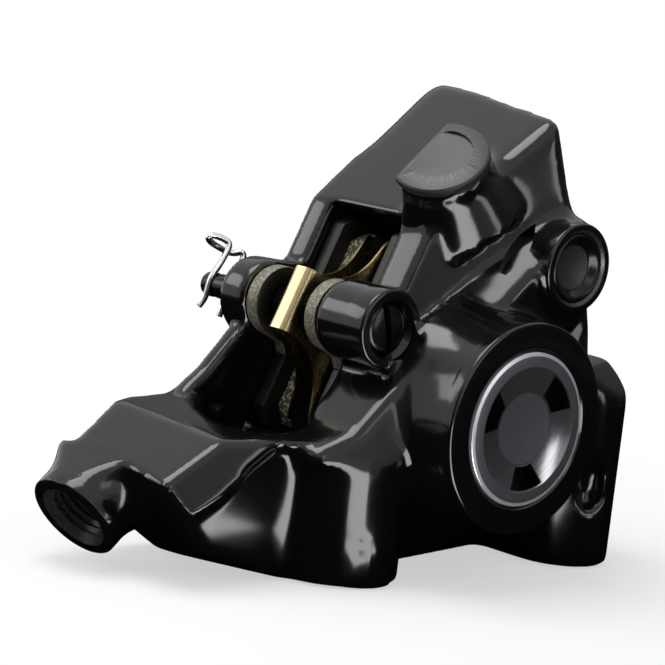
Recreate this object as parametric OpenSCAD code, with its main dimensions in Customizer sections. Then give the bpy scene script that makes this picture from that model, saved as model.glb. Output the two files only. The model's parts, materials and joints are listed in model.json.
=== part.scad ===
/* [Mounting] */
// Distance between the two mounting holes
mount_spacing = 34; // [33:0.5:37]
// Tapping diameter of the mounting holes
mount_hole_d = 4.2; // [3.8:0.1:4.6]
// Depth of the mounting holes
mount_hole_depth = 12; // [8:1:13]
// Radius of the upright column round the front mounting hole
column_r = 5.2; // [4.8:0.1:5.8]
// Offset of the column's middle forward of its hole
column_offset = 1.5; // [1:0.1:2]
// Radius of the rear foot
foot_r = 6.8; // [6.2:0.1:7.2]
// Offset of the foot's middle behind its hole
foot_offset = 2.8; // [2:0.1:3.2]
// Height of the rear foot
foot_h = 26.4; // [25.6:0.2:27]

/* [Rotor slot] */
// Radius of the brake rotor that runs in the slot
rotor_r = 70; // [68:0.5:70.5]
// Distance of the rotor's axle from the piston axis
rotor_reach = 62; // [61:0.5:63]
// Distance of the rotor's plane inboard of the mounting holes
rotor_inset = 15.5; // [15:0.1:16]
// Width of the rotor slot
slot_w = 4.4; // [4.2:0.1:4.7]
// Gap between the rotor's rim and the slot's floor
slot_clear = 1.5; // [1:0.1:2]

/* [Piston bores] */
// Distance of the piston axis forward of the mounting centre
piston_x = 3.1; // [2.5:0.1:3.6]
// Height of the piston axis over the mounting face
piston_z = 20.5; // [20:0.1:21]
// Piston diameter
piston_d = 18; // [16:0.2:18.2]
// Piston length
piston_len = 7.2; // [6.6:0.1:7.3]
// Wall of the hollow piston
piston_wall = 2.6; // [2:0.1:3.4]
// Running clearance of a piston in its bore, on the radius
piston_clear = 0.04; // [0.02:0.01:0.08]
// Distance that a piston stands out of its bore with new pads
piston_proud = 0.15; // [0.05:0.05:0.18]
// Depth of the inboard bore
bore_depth = 7.8; // [7.6:0.1:8.2]
// Wall left behind the inboard bore
bore_floor = 2; // [1.6:0.1:2.6]
// Width of a square piston seal
seal_w = 2.2; // [1.8:0.1:2.4]
// Radial height of a piston seal
seal_h = 1.6; // [1.2:0.1:1.8]
// Distance of a seal groove from the mouth of its bore
seal_inset = 2.2; // [2:0.1:2.6]
// Gap round a seal in its groove
seal_clear = 0.03; // [0.02:0.01:0.06]

/* [Pad window] */
// Slope of the window face from upright
face_tilt = 24; // [23:0.5:25]
// Distance of the window face from the piston axis
face_r = 14.4; // [14:0.1:14.8]
// Width of the window between its side walls
window_w = 13.2; // [12.8:0.1:14.4]
// Length of the window
window_len = 30.2; // [29.6:0.1:30.8]
// Shift of the window above the piston axis
window_shift = 3.9; // [3.6:0.1:4.2]
// Depth of the window below the piston axis
window_floor = 12.6; // [12:0.1:13]
// Thickness of the inboard cheek
cheek_t = 4.2; // [3.9:0.1:4.6]

/* [Pads] */
// Thickness of a pad's steel plate
plate_t = 2; // [1.6:0.1:2.1]
// Thickness of the friction lining
lining_t = 2; // [1.5:0.1:2.1]
// Gap between a pad and the window's side wall
pad_clear = 0.2; // [0.19:0.01:0.3]
// Gap between a pad and the window's ends
pad_end_gap = 0.3; // [0.2:0.05:0.5]
// Distance of the pad's top edge from the piston axis
plate_top = 12.8; // [12.2:0.1:13.2]
// Distance of the lining's top edge from the piston axis
lining_top = 10.6; // [10:0.1:11]
// Distance of a pad's low edge from the piston axis
plate_foot = 11.6; // [11:0.1:11.8]
// Margin of the plate round the lining
lining_margin = 1.2; // [0.8:0.1:2]
// Distance of the pad pin from the piston axis
pin_r = 16.9; // [16.7:0.1:17.3]
// Radius of the round ear of a pad
ear_r = 4.5; // [4:0.1:4.6]
// Diameter of the hole in the ear
ear_hole_d = 4.8; // [4.6:0.1:5.2]
// Travel of each pad to the rotor
pad_travel = 1.5; // [1:0.1:1.5]

/* [Pad pin] */
// Diameter of the pin's shank
pin_d = 4; // [3.6:0.1:4]
// Diameter of the thin end that holds the clip
pin_tip_d = 3.2; // [2.8:0.1:3.3]
// Diameter of the screw head
pin_head_d = 6.4; // [6:0.1:6.8]
// Length of the screw head
pin_head_len = 4; // [3:0.1:4.5]
// Clearance of the pin in its lugs, on the radius
pin_clear = 0.04; // [0.02:0.01:0.08]
// Radius of the lugs that carry the pin
lug_r = 5; // [4.9:0.1:5.3]
// Length of the outboard lug
lug_out_len = 8.7; // [8.4:0.1:8.9]
// Length of the inboard lug
lug_in_len = 4.9; // [4.7:0.1:5.3]
// Length of the pin beyond the inboard lug
pin_tip_len = 7.6; // [7.2:0.1:8]
// Diameter of the clip's wire
clip_d = 0.85; // [0.7:0.05:0.9]

/* [Pad spring] */
// Thickness of the spring's sheet
sheet_t = 0.3; // [0.25:0.05:0.35]
// Width of the spring's folded top
fold_w = 3.3; // [3:0.1:3.5]
// Length of the spring's folded top
fold_len = 8.4; // [8:0.1:9]
// Height of the folded top above the pad pin
fold_rise = 3.6; // [3.4:0.1:4]

/* [Hose port] */
// Distance of the port mouth forward of the front mounting hole
port_reach = 32.2; // [31.4:0.1:34.6]
// Height of the middle of the port mouth
port_z = 5.7; // [5.5:0.1:6.1]
// Distance of the port mouth inboard of the rotor's plane
port_shift = 1.5; // [1:0.1:2]
// Angle at which the port points down
port_pitch = 38.5; // [37:0.5:40]
// Angle at which the port turns outboard
port_yaw = 7.6; // [6:0.2:9]
// Outer radius of the port's neck
port_r = 5.9; // [5.6:0.1:6.2]
// Tapping diameter of the port
port_hole_d = 7.2; // [6.8:0.1:7.4]
// Diameter of the chamfered mouth
port_mouth_d = 9; // [8.6:0.1:9.4]
// Depth of the tapped port
port_depth = 8; // [7:0.5:9]

/* [Bore cap] */
// Radius of the round boss that holds the bore cap
boss_r = 13.2; // [12.8:0.1:13.6]
// Length of the boss outboard of the pad window
boss_len = 19.9; // [19.4:0.1:22]
// Diameter of the cap's rim
cap_rim_d = 19.1; // [18.9:0.1:19.3]
// Thickness of the cap's rim
cap_rim_t = 1.9; // [1.7:0.1:2.2]
// Diameter of the cap's threaded plug
cap_plug_d = 18.6; // [18.3:0.1:18.7]
// Length of the cap's plug behind its rim
cap_plug_len = 6.6; // [6:0.1:7]
// Depth of the dish in the cap
cap_dish = 0.75; // [0.6:0.05:0.9]
// Diameter of the flat middle of the dish
cap_hub_d = 8.9; // [8.6:0.1:9.2]
// Thickness of the cap's O-ring
cap_ring_t = 1.1; // [0.9:0.1:1.3]
// Fit of the cap in its bore, on the radius
cap_clear = 0.04; // [0.02:0.01:0.08]

/* [Bleed ports] */
// Radius of the D-shaped rubber cover
cover_r = 6.2; // [5.9:0.1:6.5]
// Distance of the cover's straight edge from its middle
cover_flat = 3; // [2.6:0.1:3.4]
// Thickness of the cover
cover_t = 1.8; // [1.5:0.1:2.1]
// Height of the cover's boss over the hump
cover_boss_h = 3.9; // [3.5:0.1:4.3]
// Diameter of the bleed nipple
nipple_d = 4.4; // [4:0.1:4.6]
// Radius of the round boss on the side of the hump
valve_boss_r = 5.7; // [5.5:0.1:6.2]
// Length of that boss outboard of the pad window
valve_boss_len = 14.5; // [14.1:0.1:14.9]
// Diameter of the rubber plug in that boss
valve_plug_d = 8.8; // [8:0.1:9]
// Diameter of the valve screw
valve_d = 5; // [4.6:0.1:5.4]
// Diameter of the drilled oil ways
gallery_d = 2; // [1.6:0.1:2.2]
// Diameter of the plug in the hump's inboard side
cross_plug_d = 4; // [3.6:0.1:4.6]
// Length of the plug in the hump
cross_plug_len = 2.6; // [2.2:0.1:3.2]
// Diameter of the plug by the window's low end
low_plug_d = 2.6; // [2.2:0.1:2.8]

/* [Hidden] */

fine = 64;
fit = 0.05;
ct = cos(face_tilt);
st = sin(face_tilt);
rotor_y = -rotor_inset;
rotor_x = piston_x - rotor_reach * ct;
rotor_z = piston_z - rotor_reach * st;
wall_out_y = rotor_y + window_w / 2;
wall_in_y = rotor_y - window_w / 2;
window_top = window_shift + window_len / 2;
window_low = window_shift - window_len / 2;
lobe_y = wall_in_y - bore_depth - bore_floor;
groove_r = piston_d / 2 + seal_h;
boss_y = wall_out_y + boss_len;
valve_boss_y = wall_out_y + valve_boss_len;
rail_y = wall_out_y + 12.9;
arm_y = wall_out_y + 13.5;
cheek_y = wall_in_y - cheek_t;
deck_in_y = wall_in_y - 2.1;
lug_out = -wall_out_y - lug_out_len;
lug_in = -wall_in_y + lug_in_len;
pin_tip_y = lug_in + pin_tip_len;
clip_y = -lug_in - 5.6;
port_x = mount_spacing / 2 + port_reach;
column_x = mount_spacing / 2 + column_offset;
foot_x = -mount_spacing / 2 - foot_offset;
cap_seat_y = boss_y + 0.3 - cap_rim_t;
cap_end_y = cap_seat_y - cap_plug_len;
fold_y = fold_w / 2;

// Point of the side view, from the distance out of the window and up along it
function rl(r, l) = [piston_x + r * ct - l * st, piston_z + r * st + l * ct];
// Points on an arc of the side view or of the plan
function arc(c, r, a0, a1, n) = [for (i = [0:n]) c + r * [cos(a0 + (a1 - a0) * i / n), sin(a0 + (a1 - a0) * i / n)]];
// Unit vector
function unit(v) = v / norm(v);

pin_c = rl(pin_r, window_shift);
pin_x = pin_c[0];
pin_z = pin_c[1];

// Directions and places of the port, the bleed boss and the valve boss
port_dir = [cos(port_pitch) * cos(port_yaw), cos(port_pitch) * sin(port_yaw), -sin(port_pitch)];
port_at = [port_x, rotor_y - port_shift, port_z];
bleed_dir = unit([0.607, 0.256, 0.753]);
hump_dir = [0.64, 0, 0.768];
window_head = rl(face_r, window_top);
hump_top = window_head + [-19.4, 16.2];
bleed_at = [window_head[0] - 4.5, -6.5, window_head[1] + 4];
flat_dir = [0.201, -0.965, 0.166];
valve_x = piston_x - 12;
valve_z = piston_z + 19;
valve_deep = valve_boss_y - 9.4;
cross_x = hump_top[0] + 4.9;
cross_z = hump_top[1] - 9.9;

// Corner points of the body's side view
rail_low = rl(face_r, window_low + 2.7);
deck_mid = rail_low + [9.2, -1.1];
deck_edge = [port_x - 10.9, port_z + 11.5];
nose_top = [port_x - 2.2, port_z + 6.5];
nose_low = [port_x - 9.1, port_z - 1.8];
deck_dir = [0.4958, 0.0993, 0.8627];
low_plug_x = rail_low[0] + 5.3;
low_plug_z = rail_low[1] - 1.9;

// Prism across the caliper whose children are drawn in the side view
module slab(y0, y1) {
    translate([0, y1, 0]) rotate([90, 0, 0]) linear_extrude(height = y1 - y0) children();
}

// Children drawn with X along the window normal and Y up the window
module window_frame() {
    translate([piston_x, piston_z]) rotate(face_tilt) children();
}

// Everything beyond a plane through p with outward direction n
module beyond(p, n) {
    big = 160;
    translate(p) rotate([0, acos(n[2] / norm(n)), atan2(n[1], n[0])])
        translate([-big / 2, -big / 2, 0]) cube(big);
}

// Cylinder or cone from point a to point b
module rod(a, b, r, r2 = -1) {
    d = b - a;
    translate(a) rotate([0, acos(d[2] / norm(d)), atan2(d[1], d[0])])
        cylinder(r1 = r, r2 = r2 < 0 ? r : r2, h = norm(d), $fn = fine);
}

// Cylinder across the caliper
module across(x, z, y0, y1, r) {
    translate([x, y1, z]) rotate([90, 0, 0]) cylinder(r = r, h = y1 - y0, $fn = fine);
}

// Turned piece on the piston axis, its profile drawn as radius against Y
module turned(x, z) {
    translate([x, 0, z]) rotate([-90, 0, 0]) rotate_extrude($fn = fine) children();
}

// Tube of eight sides along a list of points
module wire(path, r) {
    n = len(path);
    sides = 8;
    dirs = [for (i = [0:n - 1]) unit(path[min(i + 1, n - 1)] - path[max(i - 1, 0)])];
    side = [for (i = [0:n - 1]) unit(cross(dirs[i], [0.1, 0.97, 0.2]))];
    pts = [for (i = [0:n - 1]) for (k = [0:sides - 1])
        path[i] + r * (cos(360 * k / sides) * side[i] + sin(360 * k / sides) * cross(dirs[i], side[i]))];
    tris = [for (i = [0:n - 2]) for (k = [0:sides - 1]) each [
        [i * sides + k, (i + 1) * sides + k, i * sides + (k + 1) % sides],
        [i * sides + (k + 1) % sides, (i + 1) * sides + k, (i + 1) * sides + (k + 1) % sides]]];
    ends = [for (k = [1:sides - 2]) each [[0, k, k + 1],
        [(n - 1) * sides, (n - 1) * sides + k + 1, (n - 1) * sides + k]]];
    polyhedron(pts, concat(tris, ends));
}

// Side view of the hump, the rails and the lower body
module rail_profile() {
    polygon([[-17, 0], [27, 0], rail_low + [4, -1], rail_low, window_head, hump_top,
        hump_top + [-2.6, -0.6], hump_top + [-4, -4], [-19, 36], [-19, 24]]);
}

// Side view of the deck and the nose
module deck_profile() {
    polygon([[10, 0], [31, 0], [34, 0.4], nose_low + [4, 0], nose_top + [6, 2], deck_edge + [2, 4],
        deck_mid + [0, 4], rail_low + [-0.9, 2], rail_low, rail_low - [9.7, 0.6]]);
}

// Side view of the arm from the valve boss down to the column
module arm_profile() {
    polygon([[-10.4, 46], [-6, 46], [17.6, 24], [22.6, 18.9], [28, 16.2], [26, 6], [10, 6], [-12, 34], [-14, 42]]);
}

// Hump, outboard rail and inboard cheek
module rails() {
    difference() {
        slab(cheek_y, rail_y) rail_profile();
        beyond([0, rail_y - 0.64, 0], [0.27, 0.957, 0.093]);
        beyond([hump_top[0] + 2.7, 0, hump_top[1] - 0.7], [-0.958, 0.157, 0.24]);
        beyond([0, cheek_y + 1.3, hump_top[1] + 0.1], [0, -0.8, 0.6]);
        beyond([24, cheek_y + 2.3, 20], [0.45, -0.89, 0]);
        translate([0, 0, -1]) linear_extrude(height = 24)
            skirt_plan();
    }
}

// Plan of the space outboard of the column, the skirt and the nose
module skirt_plan() {
    far = port_x + 0.8;
    polygon(concat([[far, -3.4]], [for (p = [[10.5, -3.2], [8.6, -2.7], [7.1, 0.4], [5.4, 2.2], [3, 3.6], [-1.5, 4.2],
        [-5.1, 2.4], [-6.1, -4.6]]) [column_x + p[0], p[1]]],
        [[2.1, -6.5], [foot_x + 4.2, -10.1], [foot_x - 10.2, -13], [foot_x - 10.2, 20], [far, 20]]));
}

// Deck with the nose that carries the hose port
module deck() {
    difference() {
        slab(deck_in_y, 5) deck_profile();
        beyond([deck_edge[0], -4, deck_edge[1]], [0.18, 0.93, 0.31]);
        beyond([37, deck_in_y, 0], [0.294, -0.956, 0]);
        beyond([nose_top[0], -4, nose_top[1]], [0.766, -0.093, -0.637]);
        beyond([deck_edge[0], -4, deck_edge[1]], deck_dir);
        beyond([deck_edge[0], -4, deck_edge[1]], [0.0315, 0.075, 0.9967]);
        beyond([27.3, -4, 0], [0.276, 0.1, -0.956]);
        beyond([32, -17, 0], [0.28, -0.311, -0.908]);
        intersection() {
            slab(-14, 12) polygon([[50, 6.8], [43.6, 8.2], [38.4, 11], [34.9, 14.1], [31.1, 16.6],
                [26, 15.6], [9, 15.6], [9, -1], [50, -1]]);
            translate([0, 0, -1]) linear_extrude(height = 20) skirt_plan();
        }
    }
}

// Arm that joins the valve boss, the cap boss and the column
module arm() {
    difference() {
        slab(-8, arm_y) arm_profile();
        beyond([0, arm_y, 37.06], [0.587, 0.4, 0.704]);
        beyond([17, arm_y, 17], [0.36, 0.88, 0.3]);
        translate([0, 0, -1]) linear_extrude(height = 15.5) skirt_plan();
    }
}

// Rear foot with its sloped top and relief pocket
module rear_foot() {
    difference() {
        linear_extrude(height = foot_h) polygon(concat([[foot_x + foot_r, -11.4]], [[foot_x + foot_r, -2]],
            arc([foot_x, -2], foot_r, 0, 180, 24), [[foot_x - foot_r, -7.4], [foot_x - foot_r + 4, -11.4]]));
        beyond([foot_x - 0.8, 0, foot_h], [-0.273, 0.562, 0.781]);
        translate([foot_x + 1.4, 0, 0]) slab(2.2, 8) {
            translate([0, 9.6]) circle(r = 1.8, $fn = 32);
            translate([0, 12.4]) circle(r = 1.8, $fn = 32);
            translate([-1.8, 9.6]) square([3.6, 2.8]);
        }
    }
}

// Round boss under the D-shaped cover, flared at its root
module bleed_boss() {
    difference() {
        rod(bleed_at - 6 * bleed_dir, bleed_at + cover_boss_h * bleed_dir, cover_r - 0.3);
        beyond(bleed_at + (cover_flat + 0.15) * flat_dir, flat_dir);
    }
    difference() {
        rod(bleed_at - 4 * bleed_dir, bleed_at + 2.2 * bleed_dir, cover_r + 3, cover_r - 0.3);
        beyond(bleed_at + (cover_flat - 0.4) * flat_dir, flat_dir);
    }
}

// Hose port: neck and flare
module port_neck() {
    difference() {
        union() {
            rod(port_at - 10 * port_dir, port_at, port_r);
            rod(port_at - 7.4 * port_dir, port_at - 4.4 * port_dir, port_r + 1.9, port_r + 0.4);
            rod(port_at - 4.5 * port_dir, port_at - 2.7 * port_dir, port_r + 0.44, port_r);
        }
        beyond([deck_edge[0], -4, deck_edge[1]], deck_dir);
    }
}

// The two lugs that carry the pad pin, with the rib behind the inboard one
module lugs() {
    across(pin_x, pin_z, wall_out_y, -lug_out, lug_r);
    across(pin_x, pin_z, -lug_in, wall_in_y, lug_r);
    slab(-lug_in + 1, wall_in_y) polygon([[pin_x - 5, pin_z + 4.5], [pin_x, pin_z + lug_r],
        [pin_x + lug_r, pin_z], [pin_x + 3.6, pin_z - 4], [pin_x - 2, pin_z - 12], [pin_x - 11, pin_z - 4]]);
    slab(wall_in_y - 2.6, wall_in_y) polygon([[pin_x + 4, pin_z - 3], [pin_x + 6.2, pin_z - 5.4], [26.4, 22],
        [30, 19.2], [36.6, 17.3], [28, 12], [10, 20]]);
}

// All metal of the body before it is bored
module body_blank() {
    rails();
    deck();
    arm();
    rear_foot();
    bleed_boss();
    port_neck();
    lugs();
    translate([column_x, -1.1, 0]) cylinder(r = column_r, h = 16, $fn = fine);
    across(piston_x, piston_z, wall_out_y - 1, boss_y, boss_r);
    turned(piston_x, piston_z) polygon([[0, -1], [boss_r + 1.3, -1], [boss_r + 0.8, 2], [boss_r + 0.3, 4.4], [boss_r, boss_y - 3.6], [0, boss_y - 3.6]]);
    across(piston_x, piston_z, lobe_y, wall_in_y, 12.5);
    across(valve_x, valve_z, -6, valve_boss_y, valve_boss_r);
}

// Space of the pads, the rotor and the bores
module body_bores() {
    bore_r = piston_d / 2 + piston_clear;
    slab(wall_in_y, wall_out_y) window_frame()
        translate([-window_floor, window_low]) square([window_floor + 40, window_len]);
    slab(rotor_y - slot_w / 2, rotor_y + slot_w / 2)
        translate([rotor_x, rotor_z]) circle(r = rotor_r + slot_clear, $fn = 128);
    intersection() {
        slab(wall_in_y, -5) translate(rail_low) polygon([[-0.7, -6.1], [4.3, -3.8], [14.3, -2.4], [14.3, 3.4],
            [-0.7, 5.4]]);
        translate([rail_low[0], 0, rail_low[1] - 9]) linear_extrude(height = 20)
            polygon([[-1.7, wall_in_y], [6.3, wall_in_y], [11.3, rotor_y - 1.5], [12.9, rotor_y + 3.5],
                [12.3, rotor_y + 7.5], [8.6, rotor_y + 9.5], [2.8, rotor_y + 8.7], [0.3, wall_out_y], [-1.7, wall_out_y]]);
    }
    across(piston_x, piston_z, wall_in_y - bore_depth, wall_in_y + 1, bore_r);
    across(piston_x, piston_z, wall_in_y - seal_inset - seal_w - 2 * seal_clear, wall_in_y - seal_inset, groove_r);
    across(piston_x, piston_z, wall_out_y - 1, cap_end_y + 0.5, bore_r);
    across(piston_x, piston_z, wall_out_y + seal_inset, wall_out_y + seal_inset + seal_w + 2 * seal_clear, groove_r);
    across(piston_x, piston_z, cap_end_y - 0.4, boss_y + 1, cap_plug_d / 2 + cap_clear);
    across(piston_x, piston_z, cap_seat_y, boss_y + 1, cap_rim_d / 2 + cap_clear);
    rod([piston_x, boss_y - 0.45, piston_z], [piston_x, boss_y + 0.05, piston_z], cap_rim_d / 2, cap_rim_d / 2 + 0.5);
    across(pin_x, pin_z, -lug_in - 1, -lug_out - 1, pin_d / 2 + pin_clear);
    across(pin_x, pin_z, -lug_out - pin_head_len - 0.7, 2, pin_head_d / 2 + pin_clear);
    across(valve_x, valve_z, valve_boss_y - 3.4, valve_boss_y + 1, valve_plug_d / 2 + 0.3);
    across(valve_x, valve_z, valve_deep, valve_boss_y, valve_d / 2 + fit);
    for (s = [-1, 1]) translate([s * mount_spacing / 2, 0, -1])
        cylinder(d = mount_hole_d, h = mount_hole_depth + 1, $fn = fine);
}

// Tapped hose port and the drilled oil ways
module oil_ways() {
    rod(port_at - port_depth * port_dir, port_at + port_dir, port_hole_d / 2);
    rod(port_at - 1 * port_dir, port_at + 0.2 * port_dir, port_hole_d / 2, port_mouth_d / 2);
    rod(port_at - (port_depth - 0.6) * port_dir, [11, -0.6, 14.6], gallery_d / 2);
    rod(bleed_at - 8 * bleed_dir, bleed_at + (cover_boss_h + 1) * bleed_dir, nipple_d / 2 + fit);
    rod(bleed_at - 7.6 * bleed_dir, [piston_x - 3, -0.4, piston_z + 6], gallery_d / 2);
    rod([valve_x, valve_deep + 0.4, valve_z], bleed_at - 7.4 * bleed_dir, gallery_d / 2);
    rod([cross_x, -40, cross_z], [cross_x, -6, cross_z], gallery_d / 2);
    across(cross_x, cross_z, cheek_y - 2, cheek_y + cross_plug_len, cross_plug_d / 2 + fit);
    across(low_plug_x, low_plug_z, cheek_y - 2, wall_in_y + 1, low_plug_d / 2 + fit);
    rod([cross_x, -24.4, cross_z + 0.4], [piston_x - 2.4, wall_in_y - bore_depth + 1, piston_z + 6.4], gallery_d / 2);
    rod([cross_x, -6.4, cross_z + 0.4], bleed_at - 7.4 * bleed_dir, gallery_d / 2);
}

module caliper_body() {
    color("#1b1b1d") difference() {
        body_blank();
        body_bores();
        oil_ways();
        beyond([0, 0, 0], [0, 0, -1]);
    }
}

// Cap with a chamfered rim, a conical dish and three wedge-shaped pin recesses
module bore_cap() {
    rim = cap_rim_d / 2;
    face = cap_seat_y + cap_rim_t;
    hub = cap_hub_d / 2;
    ring_in = cap_plug_d / 2 - cap_ring_t;
    color("#6e7073") difference() {
        turned(piston_x, piston_z) polygon([[0, cap_end_y], [cap_plug_d / 2, cap_end_y],
            [cap_plug_d / 2, cap_end_y + 1], [ring_in, cap_end_y + 1], [ring_in, cap_end_y + 2.4],
            [cap_plug_d / 2, cap_end_y + 2.4], [cap_plug_d / 2, cap_seat_y], [rim, cap_seat_y],
            [rim, face - 0.24], [rim - 0.8, face], [rim - 1.75, face], [hub, face - cap_dish], [0, face - cap_dish]]);
        for (a = [22, 142, 262]) translate([piston_x, 0, piston_z]) slab(face - 2.9, face + 1)
            polygon(concat(arc([0, 0], hub + 3.1, a - 18.5, a + 18.5, 8), arc([0, 0], hub + 0.35, a + 17, a - 17, 6)));
    }
}

module bore_cap_ring() {
    outer = cap_plug_d / 2 + cap_clear - 0.01;
    inner = cap_plug_d / 2 - cap_ring_t + 0.02;
    color("#202020") turned(piston_x, piston_z) translate([inner, cap_end_y + 1.1]) square([outer - inner, 1.2]);
}

// Hollow piston with its open end toward the pad; side is 1 outboard and -1 inboard
module piston(mouth_y, side) {
    r = piston_d / 2;
    far = piston_len - piston_proud;
    color("#3a3a3e") turned(piston_x, piston_z) polygon([for (p = [[0, far], [r - 0.4, far], [r, far - 0.4],
        [r, -piston_proud], [r - piston_wall, -piston_proud], [r - piston_wall, far - 2.4], [0, far - 2.4]])
        [p[0], mouth_y + side * p[1]]]);
}

module outboard_piston() {
    piston(wall_out_y, 1);
}

module inboard_piston() {
    piston(wall_in_y, -1);
}

// Square seal in its groove, starting at y0
module piston_seal(y0) {
    inner = piston_d / 2 + 0.02;
    color("#26262a") turned(piston_x, piston_z)
        translate([inner, y0 + seal_clear]) square([groove_r - seal_clear - inner, seal_w]);
}

module outboard_piston_seal() {
    piston_seal(wall_out_y + seal_inset);
}

module inboard_piston_seal() {
    piston_seal(wall_in_y - seal_inset - seal_w - 2 * seal_clear);
}

// Outline of the pad's plate in the window's frame
module plate_outline() {
    low = window_low + pad_end_gap;
    high = window_top - pad_end_gap;
    difference() {
        union() {
            polygon([[-plate_foot, low + 3], [-plate_foot + 3, low], [plate_top - 2, low], [plate_top, low + 2],
                [plate_top, window_shift - ear_r - 1.2], [plate_top + 1.2, window_shift - ear_r],
                [pin_r, window_shift - ear_r], [pin_r, window_shift + ear_r],
                [plate_top + 1.2, window_shift + ear_r], [plate_top, window_shift + ear_r + 1.2],
                [plate_top, high - 2], [plate_top - 2, high], [-plate_foot + 3, high], [-plate_foot, high - 3]]);
            translate([pin_r, window_shift]) circle(r = ear_r, $fn = fine);
        }
        translate([pin_r, window_shift]) circle(d = ear_hole_d, $fn = fine);
    }
}

// Outline of the friction lining in the window's frame
module lining_outline() {
    low = window_low + pad_end_gap + lining_margin;
    high = window_top - pad_end_gap - lining_margin;
    foot = -plate_foot + 1;
    polygon([[foot, low + 5], [foot + 5, low], [lining_top - 2, low], [lining_top, low + 2],
        [lining_top, high - 2], [lining_top - 2, high], [foot + 5, high], [foot, high - 5]]);
}

module outboard_pad_plate() {
    y1 = wall_out_y - pad_clear;
    color("#8a8778") slab(y1 - plate_t, y1) window_frame() plate_outline();
}

module inboard_pad_plate() {
    y0 = wall_in_y + pad_clear;
    color("#8a8778") slab(y0, y0 + plate_t) window_frame() plate_outline();
}

module outboard_pad_lining() {
    y1 = wall_out_y - pad_clear - plate_t;
    color("#5a584c") slab(y1 - lining_t, y1) window_frame() lining_outline();
}

module inboard_pad_lining() {
    y0 = wall_in_y + pad_clear + plate_t;
    color("#5a584c") slab(y0, y0 + lining_t) window_frame() lining_outline();
}

// Bowed strip of the spring, drawn along the window against Y; side is 1 outboard and -1 inboard
module wing_strip(l0, l1, bow, side) {
    n = 10;
    mid = [for (i = [0:n]) [l0 + (l1 - l0) * i / n, side * (fold_y - sheet_t / 2 + bow * sin(170 * i / n))]];
    polygon(concat([for (p = mid) p + [0, sheet_t / 2]], [for (i = [n:-1:0]) mid[i] - [0, sheet_t / 2]]));
}

// Sheet spring: folded top over the pin, two flanks and four bowed wings
module pad_spring() {
    top = pin_r + fold_rise;
    l0 = window_shift - fold_len / 2;
    l1 = window_shift + fold_len / 2;
    low = 10.9;
    color("#a58a4a") translate([piston_x, rotor_y, piston_z]) rotate([0, -face_tilt, 0]) difference() {
        union() {
            translate([top - sheet_t, -fold_y, l0]) cube([sheet_t, fold_w, fold_len]);
            for (s = [-1, 1]) {
                translate([low, s * (fold_y - sheet_t / 2) - sheet_t / 2, l0]) cube([top - low, sheet_t, fold_len]);
                translate([low, 0, 0]) rotate([90, 0, 90]) linear_extrude(height = 4.2) mirror([1, 0]) wing_turned(s, l0, l1);
            }
        }
        translate([pin_r, -5, window_shift]) rotate([-90, 0, 0]) cylinder(d = pin_d + 0.8, h = 10, $fn = fine);
    }
}

// The two wings of one flank
module wing_turned(s, l0, l1) {
    mirror([1, 0]) rotate(0) {
        rotate(90) mirror([0, 1]) wing_strip(l0 + 0.4, window_low + 1.6, 0.55, s);
        rotate(90) mirror([0, 1]) wing_strip(l1 - 0.4, window_top - 2.4, 0.55, s);
    }
}

module pad_pin() {
    head_in = lug_out + pin_head_len + 0.6;
    color("#17171a") difference() {
        turned(pin_x, pin_z) polygon([[0, -pin_tip_y], [pin_tip_d / 2 - 0.4, -pin_tip_y],
            [pin_tip_d / 2, -pin_tip_y + 0.4], [pin_tip_d / 2, clip_y - clip_d / 2 - 0.1],
            [pin_tip_d / 2 - 0.6, clip_y - clip_d / 2 - 0.1], [pin_tip_d / 2 - 0.6, clip_y + clip_d / 2 + 0.1],
            [pin_tip_d / 2, clip_y + clip_d / 2 + 0.1], [pin_tip_d / 2, -lug_in - 0.6], [pin_d / 2, -lug_in - 0.4],
            [pin_d / 2, -head_in], [pin_head_d / 2, -head_in], [pin_head_d / 2, -lug_out - 1],
            [pin_head_d / 2 - 0.4, -lug_out - 0.6], [0, -lug_out - 0.6]]);
        translate([pin_x, 0, pin_z]) rotate([0, -58, 0]) translate([-5, -lug_out - 2.2, -0.6]) cube([10, 4, 1.2]);
    }
}

// Wire clip whose two legs straddle the pin's groove, with a loop above
module pin_clip() {
    r = clip_d / 2;
    g = pin_tip_d / 2 - 0.6 + r + 0.15;
    front = [[g + 1.1, -0.3, -2.7], [g + 0.5, -0.1, -1.9], [g + 0.2, 0, -0.8], [g, 0, 0.3], [g - 0.4, 0, 1.4],
        [0.3, 0, 2.5], [-0.6, -0.1, 3.8], [-1.4, -0.3, 4.9]];
    loop = [[-1.5, -0.6, 5.6], [-0.8, -1, 6], [0.2, -1.5, 6.3], [0.8, -1.8, 6.2], [1, -1.9, 5.8], [0.2, -1.8, 5.2],
        [-1.2, -1.7, 4.6], [-2.4, -1.4, 4.1], [-3.2, -0.9, 4.1], [-3.7, -0.4, 4.4]];
    rear = [[-4, -0.2, 3.9], [-3.5, 0, 2.9], [-2.6, 0, 1.8], [-g - 0.1, 0, 0.8], [-g, 0, -0.4], [-g, 0, -1.8],
        [-1.1, -0.1, -3], [-0.8, -0.1, -4.1]];
    color("#c9cbce") wire([for (p = concat(front, loop, rear)) [pin_x, clip_y, pin_z] + p], r);
}

// Hollow nipple in the boss under the cover
module bleed_nipple() {
    a = bleed_at - 6.4 * bleed_dir;
    b = bleed_at + (cover_boss_h + 1.1) * bleed_dir;
    color("#b9b9b4") difference() {
        rod(a, b, nipple_d / 2);
        rod(a - 2 * bleed_dir, b + bleed_dir, 0.9);
    }
}

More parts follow.
